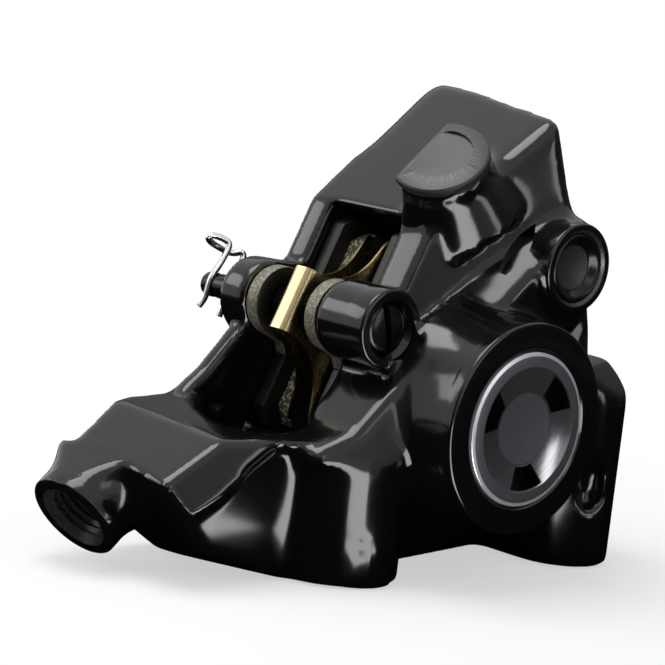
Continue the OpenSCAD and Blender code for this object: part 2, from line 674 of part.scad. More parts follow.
// Rubber cover with one straight edge, seated on its boss
module bleed_cover() {
    base = bleed_at + (cover_boss_h + fit) * bleed_dir;
    color("#3c3e41") difference() {
        rod(base, base + cover_t * bleed_dir, cover_r);
        beyond(base + cover_flat * flat_dir, flat_dir);
        rod(base - bleed_dir, base + (cover_t - 0.7) * bleed_dir, nipple_d / 2 + 0.1);
        difference() {
            rod(base + (cover_t - 0.35) * bleed_dir, base + (cover_t + 1) * bleed_dir, cover_r - 1.7);
            beyond(base + 1 * flat_dir, -flat_dir);
        }
    }
}

module valve_screw() {
    y0 = valve_boss_y - 8.6;
    y1 = valve_boss_y - 4;
    color("#9a9a98") difference() {
        turned(valve_x, valve_z) polygon([[0, y0 - 0.6], [1, y0], [valve_d / 2, y0 + 0.8], [valve_d / 2, y1 - 2],
            [valve_d / 2 - 0.7, y1 - 2], [valve_d / 2 - 0.7, y1 - 1], [valve_d / 2, y1 - 1], [valve_d / 2, y1], [0, y1]]);
        translate([valve_x, y1 + 1, valve_z]) rotate([90, 0, 0]) cylinder(d = 2.6, h = 3.2, $fn = 6);
    }
}

module valve_screw_ring() {
    y1 = valve_boss_y - 4;
    inner = valve_d / 2 - 0.68;
    color("#202020") turned(valve_x, valve_z) translate([inner, y1 - 1.95]) square([valve_d / 2 + fit - 0.02 - inner, 0.9]);
}

module valve_plug() {
    r = valve_plug_d / 2;
    color("#3a3b3e") turned(valve_x, valve_z) polygon([[0, valve_boss_y - 3.3], [r, valve_boss_y - 3.3], [r, valve_boss_y - 0.5],
        [r - 0.4, valve_boss_y - 0.2], [r - 0.9, valve_boss_y - 0.3], [r - 1.3, valve_boss_y - 0.8], [0, valve_boss_y - 0.8]]);
}

module crossway_plug() {
    color("#2a2a2c") across(cross_x, cross_z, cheek_y + 0.2, cheek_y + cross_plug_len - fit, cross_plug_d / 2);
}

module port_plug() {
    color("#2a2a2c") difference() {
        across(low_plug_x, low_plug_z, cheek_y + 1.4, wall_in_y + 2.6, low_plug_d / 2);
        translate([low_plug_x, wall_in_y + 3, low_plug_z]) rotate([90, 0, 0]) cylinder(d = 1.4, h = 1.6, $fn = 6);
    }
}

caliper_body();
bore_cap();
bore_cap_ring();
outboard_piston();
inboard_piston();
outboard_piston_seal();
inboard_piston_seal();
outboard_pad_plate();
inboard_pad_plate();
outboard_pad_lining();
inboard_pad_lining();
pad_spring();
pad_pin();
pin_clip();
bleed_nipple();
bleed_cover();
valve_screw();
valve_screw_ring();
valve_plug();
crossway_plug();
port_plug();
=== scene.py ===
"""Looks of a bicycle disc brake caliper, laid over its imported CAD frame.

Sizes in this file are in millimetres, in the frame of the CAD model: +X towards the hose
port, +Y outboard and +Z up out of the mounting face. A mesh turns to metres when it is
finished.
"""

import json
import logging
import math
from dataclasses import dataclass
from enum import Enum
from typing import Any, Iterable, Mapping, Sequence

import bmesh
import bpy
from bmesh.types import BMEdge, BMesh, BMVert
from bpy.types import ID, Material, Node, NodeSocket, NodeTree, Object, World
from mathutils import Matrix, Vector

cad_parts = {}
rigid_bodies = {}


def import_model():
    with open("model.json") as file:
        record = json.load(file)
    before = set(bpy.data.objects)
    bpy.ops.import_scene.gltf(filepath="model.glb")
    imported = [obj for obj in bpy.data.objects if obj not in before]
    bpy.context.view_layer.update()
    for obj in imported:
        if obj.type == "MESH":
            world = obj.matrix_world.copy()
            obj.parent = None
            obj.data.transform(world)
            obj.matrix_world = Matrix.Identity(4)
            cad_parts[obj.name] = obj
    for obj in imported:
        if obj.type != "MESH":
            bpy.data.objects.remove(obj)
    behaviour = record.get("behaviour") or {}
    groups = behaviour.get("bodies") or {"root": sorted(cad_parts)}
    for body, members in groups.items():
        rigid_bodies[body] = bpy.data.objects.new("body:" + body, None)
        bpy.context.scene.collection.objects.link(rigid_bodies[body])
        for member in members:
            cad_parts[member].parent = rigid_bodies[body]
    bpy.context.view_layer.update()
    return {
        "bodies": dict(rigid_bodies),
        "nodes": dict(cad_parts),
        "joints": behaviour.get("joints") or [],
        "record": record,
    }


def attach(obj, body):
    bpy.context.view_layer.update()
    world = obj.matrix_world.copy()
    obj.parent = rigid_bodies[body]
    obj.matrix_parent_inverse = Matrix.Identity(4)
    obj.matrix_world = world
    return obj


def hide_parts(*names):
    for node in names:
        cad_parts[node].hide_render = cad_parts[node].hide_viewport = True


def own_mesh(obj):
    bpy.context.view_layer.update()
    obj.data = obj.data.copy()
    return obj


LOG = logging.getLogger("caliper")
MM = 0.001
ACROSS = Vector((0, 1, 0))
FLAT = Vector((1, 0, 1))  # times a place, drops its part across the caliper
FACE_TILT = math.radians(24)
MOUNT_X = (-17, 17)
ROTOR_PLANE = -15.5
ROTOR_AXIS = Vector((-53.54, 0, -4.72))
PISTON_AXIS = Vector((3.1, 0, 20.5))
PIN_AXIS = Vector((16.953, 0, 30.937))
VALVE_AXIS = Vector((-8.9, 0, 39.5))
PORT_AT = Vector((49.2, -17.0, 5.7))
PORT_DIP, PORT_TURN = math.radians(38.5), math.radians(7.6)
PORT_DIR = Vector(
    (
        math.cos(PORT_DIP) * math.cos(PORT_TURN),
        math.cos(PORT_DIP) * math.sin(PORT_TURN),
        -math.sin(PORT_DIP),
    )
)
BLEED_DIR = Vector((0.607, 0.256, 0.753)).normalized()
BLEED_AT = Vector((4.027, -6.5, 47.714))
DECK_AT = Vector((38.3, -4.0, 17.2))
DECK_UP = Vector((0.4958, 0.0993, 0.8627)).normalized()
CHORD_DIR = Vector((0.201, -0.965, 0.166)).normalized()
MIX_SHARE, MIX_FIRST, MIX_SECOND, MIX_OUT = 0, 6, 7, 2  # sockets of a colour mixing node

Profile = Sequence[tuple[float, float]]


class Body(Enum):
    """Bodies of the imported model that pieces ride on."""

    CASTING = "body"
    OUTBOARD_PAD = "outboard_pad"
    INBOARD_PAD = "inboard_pad"
    PIN = "pad_pin"
    CLIP = "pin_clip"
    COVER = "bleed_cover"
    VALVE_PLUG = "valve_plug"


def linear(hex_colour: str) -> tuple[float, float, float, float]:
    """Turns an sRGB hex colour into the linear colour that a shader takes.

    Args:
        hex_colour: Six hex digits with a leading hash.

    Returns:
        Red, green, blue and an alpha of one.
    """
    parts = [int(hex_colour[i : i + 2], 16) / 255 for i in (1, 3, 5)]
    lin = [p / 12.92 if p <= 0.04045 else ((p + 0.055) / 1.055) ** 2.4 for p in parts]
    return (lin[0], lin[1], lin[2], 1.0)


def add_node(
    tree: NodeTree, kind: str, settings: Mapping[Any, Any] | None = None,
    links: Mapping[Any, NodeSocket] | None = None,
) -> Node:
    """Adds a node, sets its values and joins its inputs.

    Args:
        tree: Node tree of a material or the world.
        kind: Blender's name of the node type, without its first word.
        settings: Properties by name, or input values by socket name or number.
        links: Output sockets of other nodes by input socket name or number.

    Returns:
        The new node.
    """
    node = tree.nodes.new("ShaderNode" + kind)
    for key, value in (settings or {}).items():
        if isinstance(key, str) and hasattr(node, key):
            setattr(node, key, value)
        else:
            node.inputs[key].default_value = value
    for key, source in (links or {}).items():
        tree.links.new(source, node.inputs[key])
    return node


def fresh_tree(holder: Material | World) -> NodeTree:
    """Gives a material or world an empty node tree.

    Args:
        holder: What the nodes are for.

    Returns:
        Its node tree.
    """
    holder.use_nodes = True
    holder.node_tree.nodes.clear()
    return holder.node_tree


def object_place(tree: NodeTree) -> NodeSocket:
    """Adds the coordinates that ride with the object.

    Args:
        tree: Node tree of a material.

    Returns:
        Their socket.
    """
    return add_node(tree, "TexCoord").outputs["Object"]


def ranged(
    tree: NodeTree, value: NodeSocket, to: tuple[float, float],
    start: tuple[float, float] = (0.0, 1.0),
) -> NodeSocket:
    """Stretches a value from one range to another.

    Args:
        tree: Node tree of a material or the world.
        value: Socket of the value.
        to: Ends of the new range.
        start: Ends of the value's own range.

    Returns:
        The new value's socket.
    """
    ends = dict(zip(("From Min", "From Max", "To Min", "To Max"), start + to))
    return add_node(tree, "MapRange", ends, {"Value": value}).outputs["Result"]


# ---- finishes


@dataclass(frozen=True)
class Finish:
    """A surface with a base shader, a fine colour and roughness variation and a fine relief.

    Attributes:
        name: Name of the material.
        colour: Main colour as sRGB hex.
        second: Colour that the grain brings in, as sRGB hex.
        metallic: Metallic share.
        roughness: Middle roughness.
        rough_spread: How far the roughness wanders either way.
        ior: Index of refraction.
        grain_mm: Size of the grain.
        grain_stretch: Stretch of the grain along X, Y and Z, for brushed metal.
        relief_mm: Height of the grain's relief.
    """

    name: str
    colour: str
    second: str
    metallic: float = 0.0
    roughness: float = 0.5
    rough_spread: float = 0.05
    ior: float = 1.5
    grain_mm: float = 0.4
    grain_stretch: tuple[float, float, float] = (1.0, 1.0, 1.0)
    relief_mm: float = 0.0

    def material(self) -> Material:
        """Gives the material of this finish, made once for all pieces that share it.

        Returns:
            The Blender material.
        """
        found = bpy.data.materials.get(self.name)
        if found is not None:
            return found
        made = bpy.data.materials.new(self.name)
        tree = fresh_tree(made)
        values = {"Metallic": self.metallic, "IOR": self.ior}
        shader = add_node(tree, "BsdfPrincipled", values)
        self.dress(tree, shader)
        add_node(tree, "OutputMaterial", links={"Surface": shader.outputs["BSDF"]})
        made.diffuse_color = linear(self.colour)
        return made

    def grain(self, tree: NodeTree) -> NodeSocket:
        """Makes the grain pattern.

        Args:
            tree: Node tree of the material.

        Returns:
            A socket from 0 to 1.
        """
        turned = add_node(
            tree, "Mapping", {"Scale": self.grain_stretch}, {"Vector": object_place(tree)},
        )
        noise = add_node(
            tree, "TexNoise",
            {"Scale": 1.0 / (self.grain_mm * MM), "Detail": 3.0, "Roughness": 0.55},
            {"Vector": turned.outputs["Vector"]},
        )
        return noise.outputs["Fac"]

    def dress(self, tree: NodeTree, shader: Node) -> None:
        """Joins colour, roughness and relief to the shader.

        Args:
            tree: Node tree of the material.
            shader: Principled node that takes them.
        """
        grain = self.grain(tree)
        tint = add_node(
            tree, "Mix",
            {"data_type": "RGBA", MIX_FIRST: linear(self.colour), MIX_SECOND: linear(self.second)},
            {MIX_SHARE: grain},
        )
        tree.links.new(tint.outputs[MIX_OUT], shader.inputs["Base Color"])
        middle, spread = self.roughness, self.rough_spread
        rough = ranged(tree, grain, (middle - spread, middle + spread))
        tree.links.new(rough, shader.inputs["Roughness"])
        if self.relief_mm > 0:
            bump = add_node(
                tree, "Bump", {"Strength": 1.0, "Distance": self.relief_mm * MM},
                {"Height": grain},
            )
            tree.links.new(bump.outputs["Normal"], shader.inputs["Normal"])


@dataclass(frozen=True)
class SpeckledFinish(Finish):
    """A pressed compound whose grains show as separate light and dark flecks.

    Attributes:
        fleck: Colour of the light flecks as sRGB hex.
        fleck_mm: Distance between flecks.
        fleck_share: Share of the surface under flecks.
    """

    fleck: str = "#b0aa90"
    fleck_mm: float = 0.35
    fleck_share: float = 0.35

    def dress(self, tree: NodeTree, shader: Node) -> None:
        """Adds flecks over the plain grain.

        Args:
            tree: Node tree of the material.
            shader: Principled node that takes them.
        """
        super().dress(tree, shader)
        base = shader.inputs["Base Color"].links[0].from_socket
        cells = add_node(
            tree, "TexVoronoi", {"Scale": 1.0 / (self.fleck_mm * MM)},
            {"Vector": object_place(tree)},
        )
        chosen = add_node(tree, "SeparateColor", links={"Color": cells.outputs["Color"]})
        mask = add_node(
            tree, "Math", {"operation": "GREATER_THAN", 1: 1.0 - self.fleck_share},
            {0: chosen.outputs[0]},
        )
        mixed = add_node(
            tree, "Mix", {"data_type": "RGBA", MIX_SECOND: linear(self.fleck)},
            {MIX_SHARE: mask.outputs[0], MIX_FIRST: base},
        )
        tree.links.new(mixed.outputs[MIX_OUT], shader.inputs["Base Color"])


@dataclass(frozen=True)
class TurnedFinish(Finish):
    """Metal off a lathe, with fine rings round an axis along Y.

    Attributes:
        centre: X and Z of the axis.
        ring_mm: Distance between rings.
    """

    centre: tuple[float, float] = (0.0, 0.0)
    ring_mm: float = 0.25

    def grain(self, tree: NodeTree) -> NodeSocket:
        """Makes the rings, broken up a little by noise.

        Args:
            tree: Node tree of the material.

        Returns:
            A socket from 0 to 1.
        """
        moved = add_node(
            tree,
            "Mapping",
            {
                "Location": (-self.centre[0] * MM, 0.0, -self.centre[1] * MM),
                "Scale": (1.0, 0.0, 1.0),
            },
            {"Vector": object_place(tree)},
        )
        far = add_node(
            tree, "VectorMath", {"operation": "LENGTH"}, {0: moved.outputs["Vector"]},
        )
        lines = add_node(
            tree, "TexNoise",
            {"noise_dimensions": "1D", "Scale": 1.0 / (self.ring_mm * MM), "Detail": 4.0},
            {"W": far.outputs["Value"]},
        )
        return lines.outputs["Fac"]


# Gloss black stoved paint over forged aluminium: deep black with soft broad reflections
# and a faint orange peel about 2.5 mm from crest to crest.
GLOSS_PAINT = Finish(
    "gloss_black_stoved_paint", "#08080a", "#0d0d10", roughness=0.13, rough_spread=0.03,
    ior=1.45, grain_mm=2.5, relief_mm=0.004,
)
# Painted shade deep in the cap's recesses: the body's black, a little darker and duller.
RECESS_PAINTED_SHADE = Finish(
    "painted_shade_in_cap_recesses", "#060607", "#0b0b0c", roughness=0.22, rough_spread=0.05, ior=1.4,
    grain_mm=1.0, relief_mm=0.002,
)
# Die-cast aluminium, fine bead blasted and anodised dark grey: a soft sparkle of 0.15 mm
# grains, drawn at 0.25 mm so that it shows.
BLASTED_ALLOY = Finish(
    "blasted_dark_anodised_aluminium", "#3a3b3f", "#5a5b60", metallic=0.6, roughness=0.44,
    rough_spread=0.12, grain_mm=0.25, relief_mm=0.02,
)
# Turned and anodised cone of the cap's dish: a middle grey with fine rings.
TURNED_CONE = TurnedFinish(
    "turned_grey_anodised_aluminium", "#77787c", "#a0a1a5", metallic=0.9, roughness=0.17,
    rough_spread=0.05, centre=(3.1, 20.5),
)
# Turned bright aluminium of the cap's outer chamfer: fine rings, half satin so that it keeps
# its silver where the room is dark.
TURNED_ALLOY = TurnedFinish(
    "turned_bright_aluminium", "#b4b6b9", "#dcdee0", metallic=0.6, roughness=0.32,
    rough_spread=0.08, centre=(3.1, 20.5),
)
# Cut thread of the hose port and chamfer of the valve boss: dark metal that catches light on
# its crests.
PORT_THREAD = Finish(
    "cut_port_thread", "#3c3c40", "#56565a", metallic=0.7, roughness=0.28, rough_spread=0.08,
    grain_mm=0.3, relief_mm=0.004,
)
# Black moulded rubber: dull, with a fine skin.
MATT_RUBBER = Finish(
    "moulded_black_rubber", "#161719", "#1e1f22", roughness=0.46, rough_spread=0.06,
    grain_mm=0.5, relief_mm=0.006,
)
# The cover's raised rim, moulded against a brushed tool: short radial strokes.
BRUSHED_RUBBER = Finish(
    "brushed_black_rubber", "#1e1f22", "#2e3033", roughness=0.36, rough_spread=0.08,
    grain_mm=0.3, relief_mm=0.01,
)
# Black phosphated faces of the pad plates, slightly mottled; also painted shade on the plates'
# lower edges, deep in the window.
PHOSPHATE_AND_EDGE_SHADE = Finish(
    "black_phosphate_and_edge_shade", "#141311", "#1f1d1a", metallic=0.4, roughness=0.42,
    rough_spread=0.1, grain_mm=0.6, relief_mm=0.008,
)
# Sheared edges of the plates' ears: olive grey, torn into flecks by the press tool.
PLATED_STEEL = SpeckledFinish(
    "olive_plated_steel", "#57544a", "#6c6858", metallic=0.35, roughness=0.5, rough_spread=0.1,
    grain_mm=0.5, relief_mm=0.01, fleck="#8a8674", fleck_mm=0.22, fleck_share=0.3,
)
# Baked black skin on the sides of the friction compound; also painted shade on the lining's lower
# edges, deep in the window.
LINING_SKIN_AND_SHADE = Finish(
    "baked_friction_skin_and_edge_shade", "#171613", "#24221d", roughness=0.7, rough_spread=0.1, grain_mm=0.35,
    relief_mm=0.03,
)
# Resin friction compound, ground bare: dark olive with light mineral and metal flecks.
LINING = SpeckledFinish(
    "resin_friction_compound", "#35332b", "#4b483b", roughness=0.75, rough_spread=0.1,
    grain_mm=0.35, relief_mm=0.03, fleck="#a39d80", fleck_mm=0.3, fleck_share=0.3,
)
# Gold coloured stainless sheet, brushed along the window.
SPRING_SHEET = Finish(
    "gold_stainless_sheet", "#8f7a52", "#c4b48c", metallic=1.0, roughness=0.26,
    rough_spread=0.06, grain_mm=0.2, grain_stretch=(1.0, 1.0, 0.08), relief_mm=0.004,
)
# Drawn stainless wire, bright with faint draw lines.
BRIGHT_WIRE = Finish(
    "drawn_stainless_wire", "#c4c5c6", "#dedfe0", metallic=1.0, roughness=0.16,
    rough_spread=0.05, grain_mm=0.3, relief_mm=0.004,
)
# Black oxide on turned steel: near black with sharp small highlights.
BLACK_OXIDE = Finish(
    "black_oxide_steel", "#101012", "#1b1b1d", metallic=0.6, roughness=0.2, rough_spread=0.08,
    grain_mm=0.6, relief_mm=0.01,
)
# Plain machined steel of the nipple and the valve screw.
PLAIN_STEEL = Finish(
    "machined_steel", "#8d8e90", "#a7a8aa", metallic=1.0, roughness=0.3, grain_mm=0.3,
    relief_mm=0.004,
)
# Black rubber of seals and rings.
SEAL_RUBBER = Finish(
    "seal_rubber", "#141415", "#1d1d1f", roughness=0.4, grain_mm=0.6, relief_mm=0.004,
)
# Dark phenolic resin of the pistons: slightly mottled brown black.
PISTON_RESIN = Finish(
    "moulded_phenolic_resin", "#2c2a29", "#3a3734", roughness=0.38, grain_mm=0.5,
    relief_mm=0.006,
)


# ---- mesh helpers


def facing(direction: Vector, at: Vector) -> Matrix:
    """Makes a frame whose Z axis points along a direction.

    Args:
        direction: Where the local Z axis points.
        at: Origin of the frame.

    Returns:
        The frame's matrix.
    """
    return Matrix.Translation(at) @ direction.to_track_quat("Z", "Y").to_matrix().to_4x4()


def window_frame(y: float = 0.0) -> Matrix:
    """Frame of the pad window: X out of the window, Y outboard, Z up along the window.

    Args:
        y: Place of its origin across the caliper.

    Returns:
        The frame's matrix.
    """
    at = Matrix.Translation(PISTON_AXIS + ACROSS * y)
    return at @ Matrix.Rotation(-FACE_TILT, 4, "Y")


def add_rod(bm: BMesh, a: Vector, b: Vector, radius: float, segments: int = 96) -> None:
    """Adds a closed cylinder from point a to point b.

    Args:
        bm: Mesh that takes it.
        a: Middle of the first end.
        b: Middle of the second end.
        radius: Its radius.
        segments: Faces around.
    """
    axis = b - a
    bmesh.ops.create_cone(
        bm, cap_ends=True, segments=segments, radius1=radius, radius2=radius,
        depth=axis.length, matrix=facing(axis, (a + b) / 2),
    )


def add_lathe(bm: BMesh, profile: Profile, place: Matrix, steps: int = 96) -> None:
    """Adds a turned solid, closed where its profile starts and ends on the axis.

    Args:
        bm: Mesh that takes it.
        profile: Radius and height pairs.
        place: Frame whose Z axis is the turning axis.
        steps: Faces around.
    """
    weld = 2e-3
    verts = [bm.verts.new(place @ Vector((r, 0, h))) for r, h in profile]
    edges = [bm.edges.new(pair) for pair in zip(verts, verts[1:])]
    bmesh.ops.spin(
        bm, geom=verts + edges, cent=place.translation, axis=place.to_3x3() @ Vector((0, 0, 1)),
        angle=2 * math.pi, steps=steps, use_merge=True,
    )
    bmesh.ops.remove_doubles(bm, verts=bm.verts[:], dist=weld)
    bmesh.ops.recalc_face_normals(bm, faces=bm.faces[:])


def add_prism(bm: BMesh, outline: Iterable[Vector], along: Vector) -> list[BMVert]:
    """Adds a prism by extruding one outline.

    Args:
        bm: Mesh that takes it.
        outline: Corners of the outline in order.
        along: How far and where it is extruded.

    Returns:
        The vertices of its far end.
    """
    face = bm.faces.new([bm.verts.new(p) for p in outline])
    grown = bmesh.ops.extrude_face_region(bm, geom=[face])
    far = [v for v in grown["geom"] if isinstance(v, BMVert)]
    bmesh.ops.translate(bm, verts=far, vec=along)
    bmesh.ops.recalc_face_normals(bm, faces=bm.faces[:])
    return far


def arc(
    centre: tuple[float, float], r: float, start: float, end: float, count: int,
) -> list[tuple[float, float]]:
    """Points along an arc in a plane.

    Args:
        centre: Middle of the arc.
        r: Radius.
        start: First angle in degrees.
        end: Last angle in degrees.
        count: Number of steps.

    Returns:
        The points in order.
    """
    angles = [math.radians(start + (end - start) * i / count) for i in range(count + 1)]
    return [(centre[0] + r * math.cos(a), centre[1] + r * math.sin(a)) for a in angles]


def show(name: str, data: ID) -> Object:
    """Puts a new object in the scene.

    Args:
        name: Name of the object.
        data: Its mesh, curve, lamp or camera.

    Returns:
        The new object.
    """
    made = bpy.data.objects.new(name, data)
    bpy.context.scene.collection.objects.link(made)
    return made


def link(name: str, bm: BMesh) -> Object:
    """Turns a bmesh into an object in the scene, still in millimetres.

    Args:
        name: Name of the object and its mesh.
        bm: Mesh, which is freed.

    Returns:
        The new object.
    """
    mesh = bpy.data.meshes.new(name)
    bm.to_mesh(mesh)
    bm.free()
    return show(name, mesh)


def bake(piece: Object) -> None:
    """Applies the modifiers of a piece to its mesh.

    Args:
        piece: Object whose modifiers are applied and removed.
    """
    bpy.context.view_layer.update()
    graph = bpy.context.evaluated_depsgraph_get()
    old = piece.data
    piece.data = bpy.data.meshes.new_from_object(piece.evaluated_get(graph))
    piece.modifiers.clear()
    bpy.data.meshes.remove(old)


def cut(piece: Object, tool: BMesh, mode: str = "DIFFERENCE") -> None:
    """Cuts a solid out of a piece, or joins it on.

    Args:
        piece: Object that is cut.
        tool: Closed solid, which is freed.
        mode: Blender's name of the boolean operation.
    """
    cutter = link("cutter", tool)
    step = piece.modifiers.new("cut", "BOOLEAN")
    step.operation = mode
    step.object = cutter
    step.solver = "MANIFOLD"
    bake(piece)
    mesh = cutter.data
    bpy.data.objects.remove(cutter)
    bpy.data.meshes.remove(mesh)


def mark_sharp(piece: Object, degrees: float) -> None:
    """Shades a mesh smooth with its sharper edges kept.

    Args:
        piece: Object to shade.
        degrees: Edges that turn further than this stay sharp.
    """
    bm = bmesh.new()
    bm.from_mesh(piece.data)
    limit = math.radians(degrees)
    for face in bm.faces:
        face.smooth = True
    for edge in bm.edges:
        edge.smooth = len(edge.link_faces) == 2 and edge.calc_face_angle(0) < limit
    bm.to_mesh(piece.data)
    bm.free()


def finish_piece(
    piece: Object, finishes: Sequence[Finish], body: Body,
    stands_for: Sequence[str] = (), sharp: float = 32.0,
) -> None:
    """Turns a piece to metres, dresses it and puts it on its body.

    Args:
        piece: Object in millimetres.
        finishes: Materials in the order of its faces' numbers.
        body: Body that it rides on.
        stands_for: CAD nodes that it replaces.
        sharp: Edges that turn further than this, in degrees, stay sharp.
    """
    piece.data.transform(Matrix.Scale(MM, 4))
    mark_sharp(piece, sharp)
    numbers = [poly.material_index for poly in piece.data.polygons]
    piece.data.materials.clear()
    for finish in finishes:
        piece.data.materials.append(finish.material())
    for poly, number in zip(piece.data.polygons, numbers):
        poly.material_index = number
    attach(piece, body.value)
    if stands_for:
        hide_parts(*stands_for)
    LOG.info("%s: %d faces", piece.name, len(piece.data.polygons))


def node_copy(node: Object) -> BMesh:
    """Copies a CAD node's mesh, joined at its corners and turned to millimetres.

    Args:
        node: CAD object, left as it is.

    Returns:
        The copy.
    """
    bm = bmesh.new()
    bm.from_mesh(node.data)
    bmesh.ops.scale(bm, vec=(1 / MM, 1 / MM, 1 / MM), verts=bm.verts[:])
    bmesh.ops.remove_doubles(bm, verts=bm.verts[:], dist=1e-3)
    return bm


def thread(root: float, crest: float, start: float, pitch: float, turns: int) -> Profile:
    """Gives the profile of a thread, drawn as one ring for each turn.

    Args:
        root: Radius of the bore.
        crest: Radius at the bottom of the thread's groove.
        start: Height of the first turn.
        pitch: Distance between turns.
        turns: Number of turns.

    Returns:
        Radius and height pairs.
    """
    lows = [start + turn * pitch for turn in range(turns)]
    rings = [[(root, z), (crest, z + 0.45 * pitch), (root, z + 0.9 * pitch)] for z in lows]
    return [point for ring in rings for point in ring]


# ---- the casting


@dataclass
class Casting:
    """Painted aluminium body: the CAD solid with its bores filled, softened and cut again.

    Attributes:
        fine: Grid size of the remeshing that rounds the edges.
        grid: Grid size of the mesh that is kept.
        regions: Regions that are rounded more, with their smoothing passes.
        passes: Smoothing passes over the whole surface.
        levels: Steps in which a region's smoothing fades out.
        boss_face: Place of the cap boss's face.
        window_floor: Depth of the pad window below the piston axis.
    """

    fine: float = 0.29
    grid: float = 0.49
    regions: tuple[tuple[str, int], ...] = (("hump", 170), ("foot", 60), ("wedge", 60))
    passes: int = 30
    levels: int = 8
    boss_face: float = 11.0
    window_floor: float = 12.6

    def blank(self, node: Object) -> Object:
        """Copies the CAD body and fills its bores, so that its edges soften evenly.

        Args:
            node: CAD node of the body.

        Returns:
            The unsmoothed blank in millimetres.
        """
        bm = node_copy(node)
        for at, along, low, high, radius in (
            (PISTON_AXIS, ACROSS, -2, 10.99, 10.2), (PIN_AXIS, ACROSS, -6, -0.21, 3.4),
            (PIN_AXIS, ACROSS, -26.99, -23, 2.2), (VALVE_AXIS, ACROSS, 1, 5.59, 4.9),
            (PORT_AT, PORT_DIR, -8.4, -0.01, 4.8),
            *((Vector((x, 0, 0)), Vector((0, 0, 1)), 0.01, 12.4, 2.2) for x in MOUNT_X),
        ):
            add_rod(bm, at + along * low, at + along * high, radius)
        return link("casting", bm)

    @staticmethod
    def remesh(piece: Object, size: float) -> None:
        """Rebuilds a piece as one skin of even faces.

        Args:
            piece: Object that is rebuilt.
            size: Grid size.
        """
        step = piece.modifiers.new("grid", "REMESH")
        step.mode = "VOXEL"
        step.voxel_size = size
        step.adaptivity = 0.0
        bake(piece)

    @staticmethod
    def softness(region: str, at: Vector) -> float:
        """Tells how much a region's smoothing moves a point, fading out over its border.

        Args:
            region: Name of the region.
            at: The point.

        Returns:
            A share from 0 to 1.
        """
        if region == "hump":
            shares = ((at.z - 43) / 6, (2 - at.x) / 3)
        elif region == "foot":
            shares = ((at.z - 19) / 4, (-12 - at.x) / 2, (31 - at.z) / 2)
        else:
            shares = ((10 - (at - Vector((20, 1, 17))).length) / 4,)
        return max(0.0, min(1.0, *shares))

    @staticmethod
    def ease(piece: Object, name: str, passes: int, group: str = "") -> None:
        """Adds a smoothing step.

        Args:
            piece: Object that is smoothed when it is baked.
            name: Name of the step.
            passes: Number of passes.
            group: Vertex group that it is kept to, if any.
        """
        step = piece.modifiers.new(name, "SMOOTH")
        step.factor, step.iterations, step.vertex_group = 0.5, passes, group

    def soften(self, piece: Object) -> None:
        """Remeshes the blank on a fine grid and rounds its edges.

        Args:
            piece: The blank.
        """
        self.remesh(piece, self.fine)
        for region, passes in self.regions:
            group = piece.vertex_groups.new(name=region)
            bins: dict[int, list[int]] = {}
            for vert in piece.data.vertices:
                level = round(self.softness(region, vert.co) * self.levels)
                if level:
                    bins.setdefault(level, []).append(vert.index)
            for level, numbers in bins.items():
                group.add(numbers, level / self.levels, "REPLACE")
            self.ease(piece, region, passes, region)
        self.ease(piece, "everywhere", self.passes)
        bake(piece)
        piece.vertex_groups.clear()
        self.remesh(piece, self.grid)
        self.ease(piece, "settle", 3)
        bake(piece)

    def crisp(self) -> BMesh:
        """Makes the turned ends that stay crisp: bosses, pin lug and column."""
        bm = bmesh.new()
        for place, r, low, high, edge in (
            (facing(ACROSS, PISTON_AXIS), 13.2, 7.4, self.boss_face + 0.03, 0.4),
            (facing(ACROSS, VALVE_AXIS), 5.7, 2.0, 5.63, 0.35),
            (facing(ACROSS, PIN_AXIS), 5.0, -5.0, -0.17, 0.45),
        ):
            rounded = arc((r - edge, high - edge), edge, 0, 90, 6)
            profile = [(0, low), (r - 0.6, low), (r - 0.15, low + 0.3), (r, low + 1.9)]
            add_lathe(bm, [*profile, *rounded, (0, high)], place, 144)
        column = [(0, 0.02), (4.9, 0.02), (5.12, 0.12), (5.2, 0.35), (5.2, 6.5), (5.05, 8.2)]
        column += [(4.4, 8.6), (0, 8.6)]
        add_lathe(bm, column, Matrix.Translation((18.5, -1.1, 0)), 96)
        return bm

    def neck(self) -> BMesh:
        """Makes the port's round neck, cut off under the deck's plane."""
        bm = bmesh.new()
        rim = arc((5.6, -0.3), 0.3, 0, 90, 5)
        profile = [(0, -2.9), (5.5, -2.9), (5.75, -2.6), (5.9, -1.6), *rim, (0, 0)]
        add_lathe(bm, profile, facing(PORT_DIR, PORT_AT), 96)
        made = bmesh.ops.bisect_plane(
            bm, geom=bm.verts[:] + bm.edges[:] + bm.faces[:], plane_co=DECK_AT - DECK_UP * 0.06,
            plane_no=DECK_UP, clear_outer=True,
        )
        edges = [g for g in made["geom_cut"] if isinstance(g, BMEdge)]
        bmesh.ops.contextual_create(bm, geom=edges)
        bmesh.ops.recalc_face_normals(bm, faces=bm.faces[:])
        return bm

    def lens_tool(self) -> BMesh:
        """Makes the tool of the lens-shaped recess on the arm's band."""
        middle = Vector((-2.05, 1.13, 40.74))
        along = Vector((0.722, 0.135, -0.679)).normalized()
        up = Vector((0.587, 0.4, 0.704)).normalized()
        over = up.cross(along)
        half_length, half_width, blunt = 4.8, 1.2, 0.8
        steps = [-1 + (1 + blunt) * i / 12 for i in range(13)]
        side = [(half_length * t, half_width * (1 - t * t)) for t in steps]
        outline = side + [(x, -y) for x, y in reversed(side[1:])]
        bm = bmesh.new()
        top = [middle + up * 2 + along * x + over * y for x, y in outline]
        add_prism(bm, top, up * -2.9)
        return bm

    def machine(self, piece: Object) -> None:
        """Cuts the bores, the pad window and the rotor slot with crisp edges.

        Args:
            piece: The softened blank.
        """
        for part in (self.crisp(), self.neck()):
            cut(piece, part, "UNION")
        for tool in (self.lens_tool(), self.window_tool(), self.slot_tool()):
            cut(piece, tool)
        for profile, place, steps in self.turned_tools():
            tool = bmesh.new()
            add_lathe(tool, profile, place, steps)
            cut(piece, tool)

